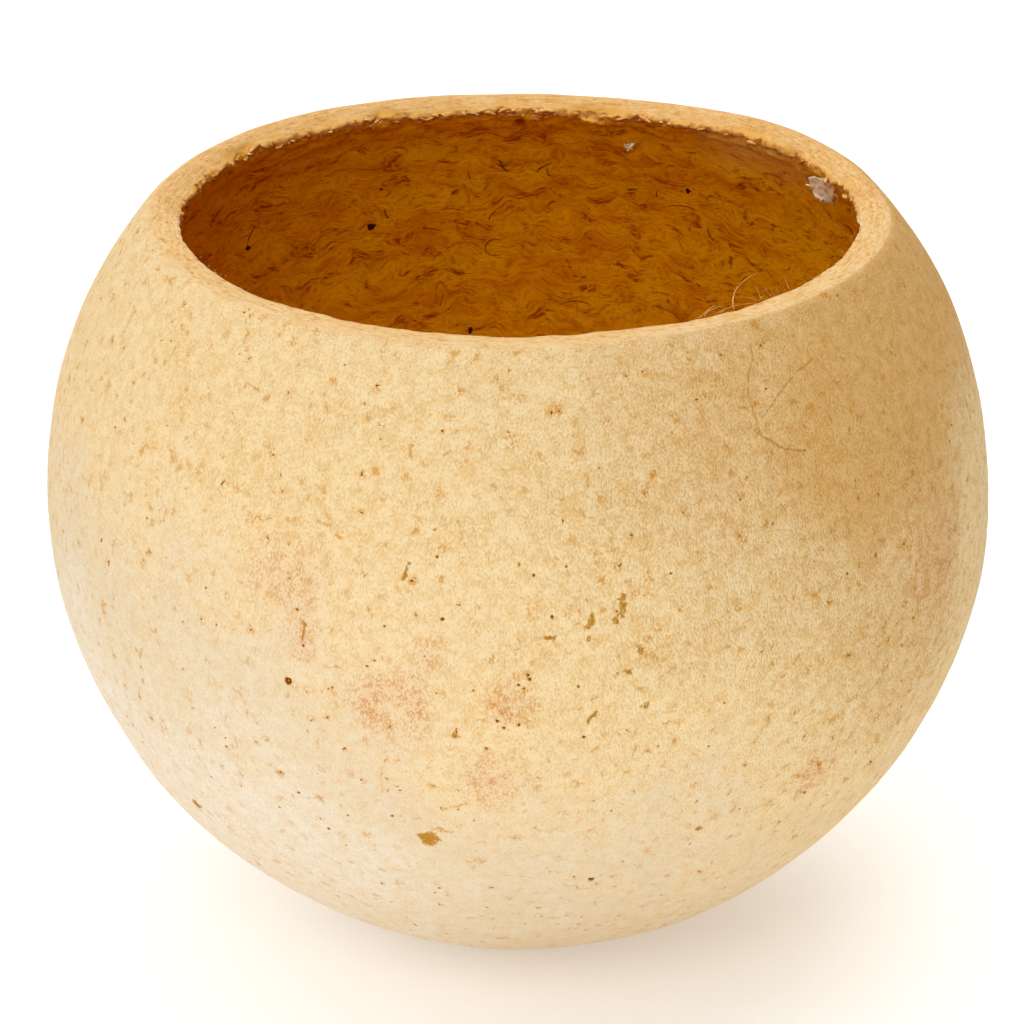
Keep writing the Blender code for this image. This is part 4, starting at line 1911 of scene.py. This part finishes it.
@dataclass(frozen=True)
class Studio:
    """A plain pale floor, soft white light and the camera of the photograph."""

    distance: float = 0.70
    elevation: float = math.radians(21.65)
    lens: float = 331.0
    aim_right: float = -0.00052
    aim_up: float = -0.00253
    floor_glow: float = 0.27
    dark_side: Vector = field(default_factory=lambda: Vector((1.0, -0.1, 0.1)).normalized())
    fades: tuple[Fade, Fade] = (Fade(0.0, 0.9, 1.0, 0.08), Fade(-0.1, -0.9, 0.96, 0.60))
    lamps: tuple[Lamp, ...] = (
        Lamp("key", (-0.15, -0.80, 0.55), 0.40, 1.5),
        Lamp("overhead", (0.0, 0.05, 1.0), 1.00, 2.0),
        Lamp("back", (0.26, 0.34, 0.85), 0.70, 1.7),
    )

    def floor(self) -> None:
        """Lay the plain pale floor, which glows a little."""
        sheet = bmesh.new()
        bmesh.ops.create_grid(sheet, x_segments=8, y_segments=8, size=4.0)
        mesh = bpy.data.meshes.new("floor")
        sheet.to_mesh(mesh)
        sheet.free()
        shader = Shader("floor")
        tone = shader.noise(0.08, 3.0)
        colour = shader.mix(tone, srgb(250, 250, 249), srgb(244, 244, 243))
        shader.principled.inputs["Emission Color"].default_value = (1.0, 1.0, 1.0, 1.0)
        shader.principled.inputs["Emission Strength"].default_value = self.floor_glow
        shader.material.cycles.emission_sampling = "NONE"
        mesh.materials.append(shader.finish(colour, shader.mix_value(tone, 0.7, 0.9), tone, 0.01 * MM))
        shown("floor", mesh)

    def hang(self, lamp: Lamp, target: Vector) -> None:
        """Hang one lamp so that it shines on the target.

        Args:
            lamp: The lamp.
            target: What it shines on.
        """
        data = bpy.data.lights.new(lamp.name, "AREA")
        data.size = lamp.side
        data.energy = lamp.power
        place = target + Vector(lamp.place)
        hung = bpy.data.objects.new(lamp.name, data)
        hung.location = place
        hung.rotation_euler = (target - place).to_track_quat("-Z", "Y").to_euler()
        bpy.context.scene.collection.objects.link(hung)

    def lights(self, target: Vector) -> None:
        """Set the pale surroundings, darker at the sides and most on the right, and hang the lamps.

        Args:
            target: What the lamps shine on.
        """
        world = bpy.data.worlds.new("surroundings")
        world.use_nodes = True
        background = world.node_tree.nodes["Background"]
        background.inputs["Color"].default_value = (1.0, 1.0, 1.0, 1.0)
        tree = world.node_tree
        where = tree.nodes.new("ShaderNodeTexCoord")
        side = tree.nodes.new("ShaderNodeVectorMath")
        side.operation = "DOT_PRODUCT"
        side.inputs[1].default_value = self.dark_side
        tree.links.new(where.outputs["Generated"], side.inputs[0])
        strength = tree.nodes.new("ShaderNodeMath")
        strength.operation = "MULTIPLY"
        for slot, fade in enumerate(self.fades):
            step = tree.nodes.new("ShaderNodeMapRange")
            step.interpolation_type = "SMOOTHSTEP"
            step.inputs["From Min"].default_value = fade.start
            step.inputs["From Max"].default_value = fade.end
            step.inputs["To Min"].default_value = fade.full
            step.inputs["To Max"].default_value = fade.least
            tree.links.new(side.outputs["Value"], step.inputs["Value"])
            tree.links.new(step.outputs["Result"], strength.inputs[slot])
        tree.links.new(strength.outputs[0], background.inputs["Strength"])
        bpy.context.scene.world = world
        for lamp in self.lamps:
            self.hang(lamp, target)

    def camera(self, target: Vector) -> None:
        """Place the camera as the photograph has it.

        Args:
            target: What the camera looks at.
        """
        data = bpy.data.cameras.new("camera")
        data.lens = self.lens
        data.sensor_width = 36.0
        data.clip_start = 0.01
        back = Vector((0.0, -math.cos(self.elevation), math.sin(self.elevation)))
        up = Vector((0.0, math.sin(self.elevation), math.cos(self.elevation)))
        eye = bpy.data.objects.new("camera", data)
        eye.rotation_euler = (math.pi / 2.0 - self.elevation, 0.0, 0.0)
        eye.location = target + back * self.distance + up * self.aim_up + Vector((self.aim_right, 0.0, 0.0))
        bpy.context.scene.collection.objects.link(eye)
        bpy.context.scene.camera = eye

    def build(self, target: Vector) -> None:
        """Set up the whole studio round a target.

        Args:
            target: The middle of the pod.
        """
        self.floor()
        self.lights(target)
        self.camera(target)
        bpy.context.scene.view_settings.view_transform = "Standard"


def skin_marks() -> list[Mark]:
    """The flaws that show best in the skin, and pinholes scattered over the rest of it.

    Returns:
        The flaws.
    """
    marks = [
        Mark(Flaw.PIT, -118.3, 95.8, 0.34 * MM),
        Mark(Flaw.SCAB, -102.0, 117.1, 0.90 * MM),
        Mark(Flaw.STREAK, -75.7, 90.0, 0.30 * MM),
        Mark(Flaw.STREAK, -77.1, 92.4, 0.30 * MM),
        Mark(Flaw.STREAK, -75.0, 97.1, 0.34 * MM),
        Mark(Flaw.STREAK, -97.7, 100.4, 0.34 * MM),
        Mark(Flaw.STREAK, -65.4, 117.5, 0.34 * MM),
        Mark(Flaw.STREAK, -143.3, 122.5, 0.50 * MM),
        Mark(Flaw.PIT, -79.5, 125.1, 0.24 * MM),
    ]
    front = (
        (-116.2, 90.9), (-105.9, 86.9), (-99.0, 85.5), (-86.2, 85.0), (-84.4, 79.0), (-88.8, 92.7),
        (-90.1, 93.4), (-83.1, 93.9), (-95.4, 94.2), (-82.3, 100.7), (-90.1, 98.7), (-91.8, 99.1),
        (-99.8, 78.0), (-86.4, 87.6),
    )
    marks += [Mark(Flaw.PINHOLE, azimuth, tilt, 0.115 * MM) for azimuth, tilt in front]
    draw = random.Random(31)
    for _ in range(95):
        tilt = math.degrees(math.acos(draw.uniform(-0.90, 0.50)))
        marks.append(Mark(Flaw.PINHOLE, draw.uniform(-180.0, 180.0), tilt, draw.uniform(0.07, 0.12) * MM))
    return marks


def skin_trails() -> list[Trail]:
    """The hairline cracks of the upper right, and the long marks in the middle of the front.

    Returns:
        The trails.
    """
    return [
        Trail(Flaw.CRACK, (
            (-54.7, 55.8), (-55.2, 57.6), (-56.6, 59.4), (-57.4, 61.2), (-57.3, 66.4), (-54.1, 68.9),
            (-51.1, 69.7),
        ), 0.125 * MM),
        Trail(Flaw.CRACK, (
            (-56.2, 64.6), (-53.0, 62.6), (-50.2, 61.1), (-47.2, 60.0), (-44.6, 59.6),
        ), 0.11 * MM),
        Trail(Flaw.STREAK, ((-77.7, 82.9), (-77.8, 84.4), (-78.0, 85.3), (-78.6, 86.1)), 0.28 * MM),
        Trail(Flaw.STREAK, ((-81.5, 85.3), (-81.9, 86.6)), 0.25 * MM),
        Trail(Flaw.STREAK, ((-81.8, 87.7), (-81.9, 88.2)), 0.20 * MM),
        Trail(Flaw.STREAK, ((-86.9, 87.6), (-85.9, 87.7)), 0.15 * MM),
        Trail(Flaw.STREAK, ((-81.8, 98.6), (-80.9, 97.2)), 0.17 * MM),
        Trail(Flaw.STREAK, ((-103.1, 79.2), (-103.9, 81.3)), 0.17 * MM),
        Trail(Flaw.STREAK, ((-116.0, 88.2), (-116.2, 90.3)), 0.12 * MM),
    ]


def add_piece(piece: Object, materials: list[Material], *nodes: str) -> None:
    """Dress a finished piece, fix it to the pod's body and say which nodes it stands for.

    Args:
        piece: The piece.
        materials: Its materials, in the order of its slots.
        nodes: The nodes that it stands for.
    """
    for material in materials:
        piece.data.materials.append(material)
    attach(piece, BODY)
    if nodes:
        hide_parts(*nodes)
    triangles = sum(face.loop_total - 2 for face in piece.data.polygons)
    log.info("%s: %d triangles", piece.name, triangles)


def main() -> None:
    """Build the pod's pieces and the studio in order."""
    logging.basicConfig(level=logging.INFO, format="%(name)s: %(message)s")
    surface = RindSurface(RindForm())
    finish = RindFinish()
    rind = PodRind(surface, finish, skin_marks(), skin_trails()).build()
    add_piece(rind, finish.build(surface), SHELL_NODE)
    fibres = TornFibres(surface)
    pale = FibreFinish("pale_fibre", srgb(240, 202, 124), srgb(208, 150, 70), srgb(196, 128, 40), 0.7)
    add_piece(fibres.build(), [pale.build()])
    crumb = FibreFinish("torn_crumb", srgb(248, 204, 132), srgb(228, 162, 76), srgb(200, 118, 28), 0.85)
    add_piece(RimCrumbs(fibres).build(), [crumb.build()])
    bristle = FibreFinish("dark_bristle", srgb(84, 26, 0), srgb(112, 42, 0), srgb(70, 20, 0), 0.6)
    add_piece(InnerBristles(surface).build(), [bristle.build()])
    brown = FibreFinish("brown_fibre", srgb(180, 88, 0), srgb(128, 44, 0), srgb(130, 46, 0), 0.7)
    speck = FibreFinish("dark_speck", srgb(96, 30, 0), srgb(70, 20, 0), srgb(60, 16, 0), 0.8)
    add_piece(WallFibres(surface).build(), [brown.build(), speck.build()])
    pith = FibreFinish("white_pith", srgb(255, 252, 238), srgb(255, 246, 218), srgb(253, 238, 200), 0.75)
    add_piece(PithScraps(surface).build(), [pith.build()])
    Studio().build(surface.centre)


if __name__ == "__main__":
    main()
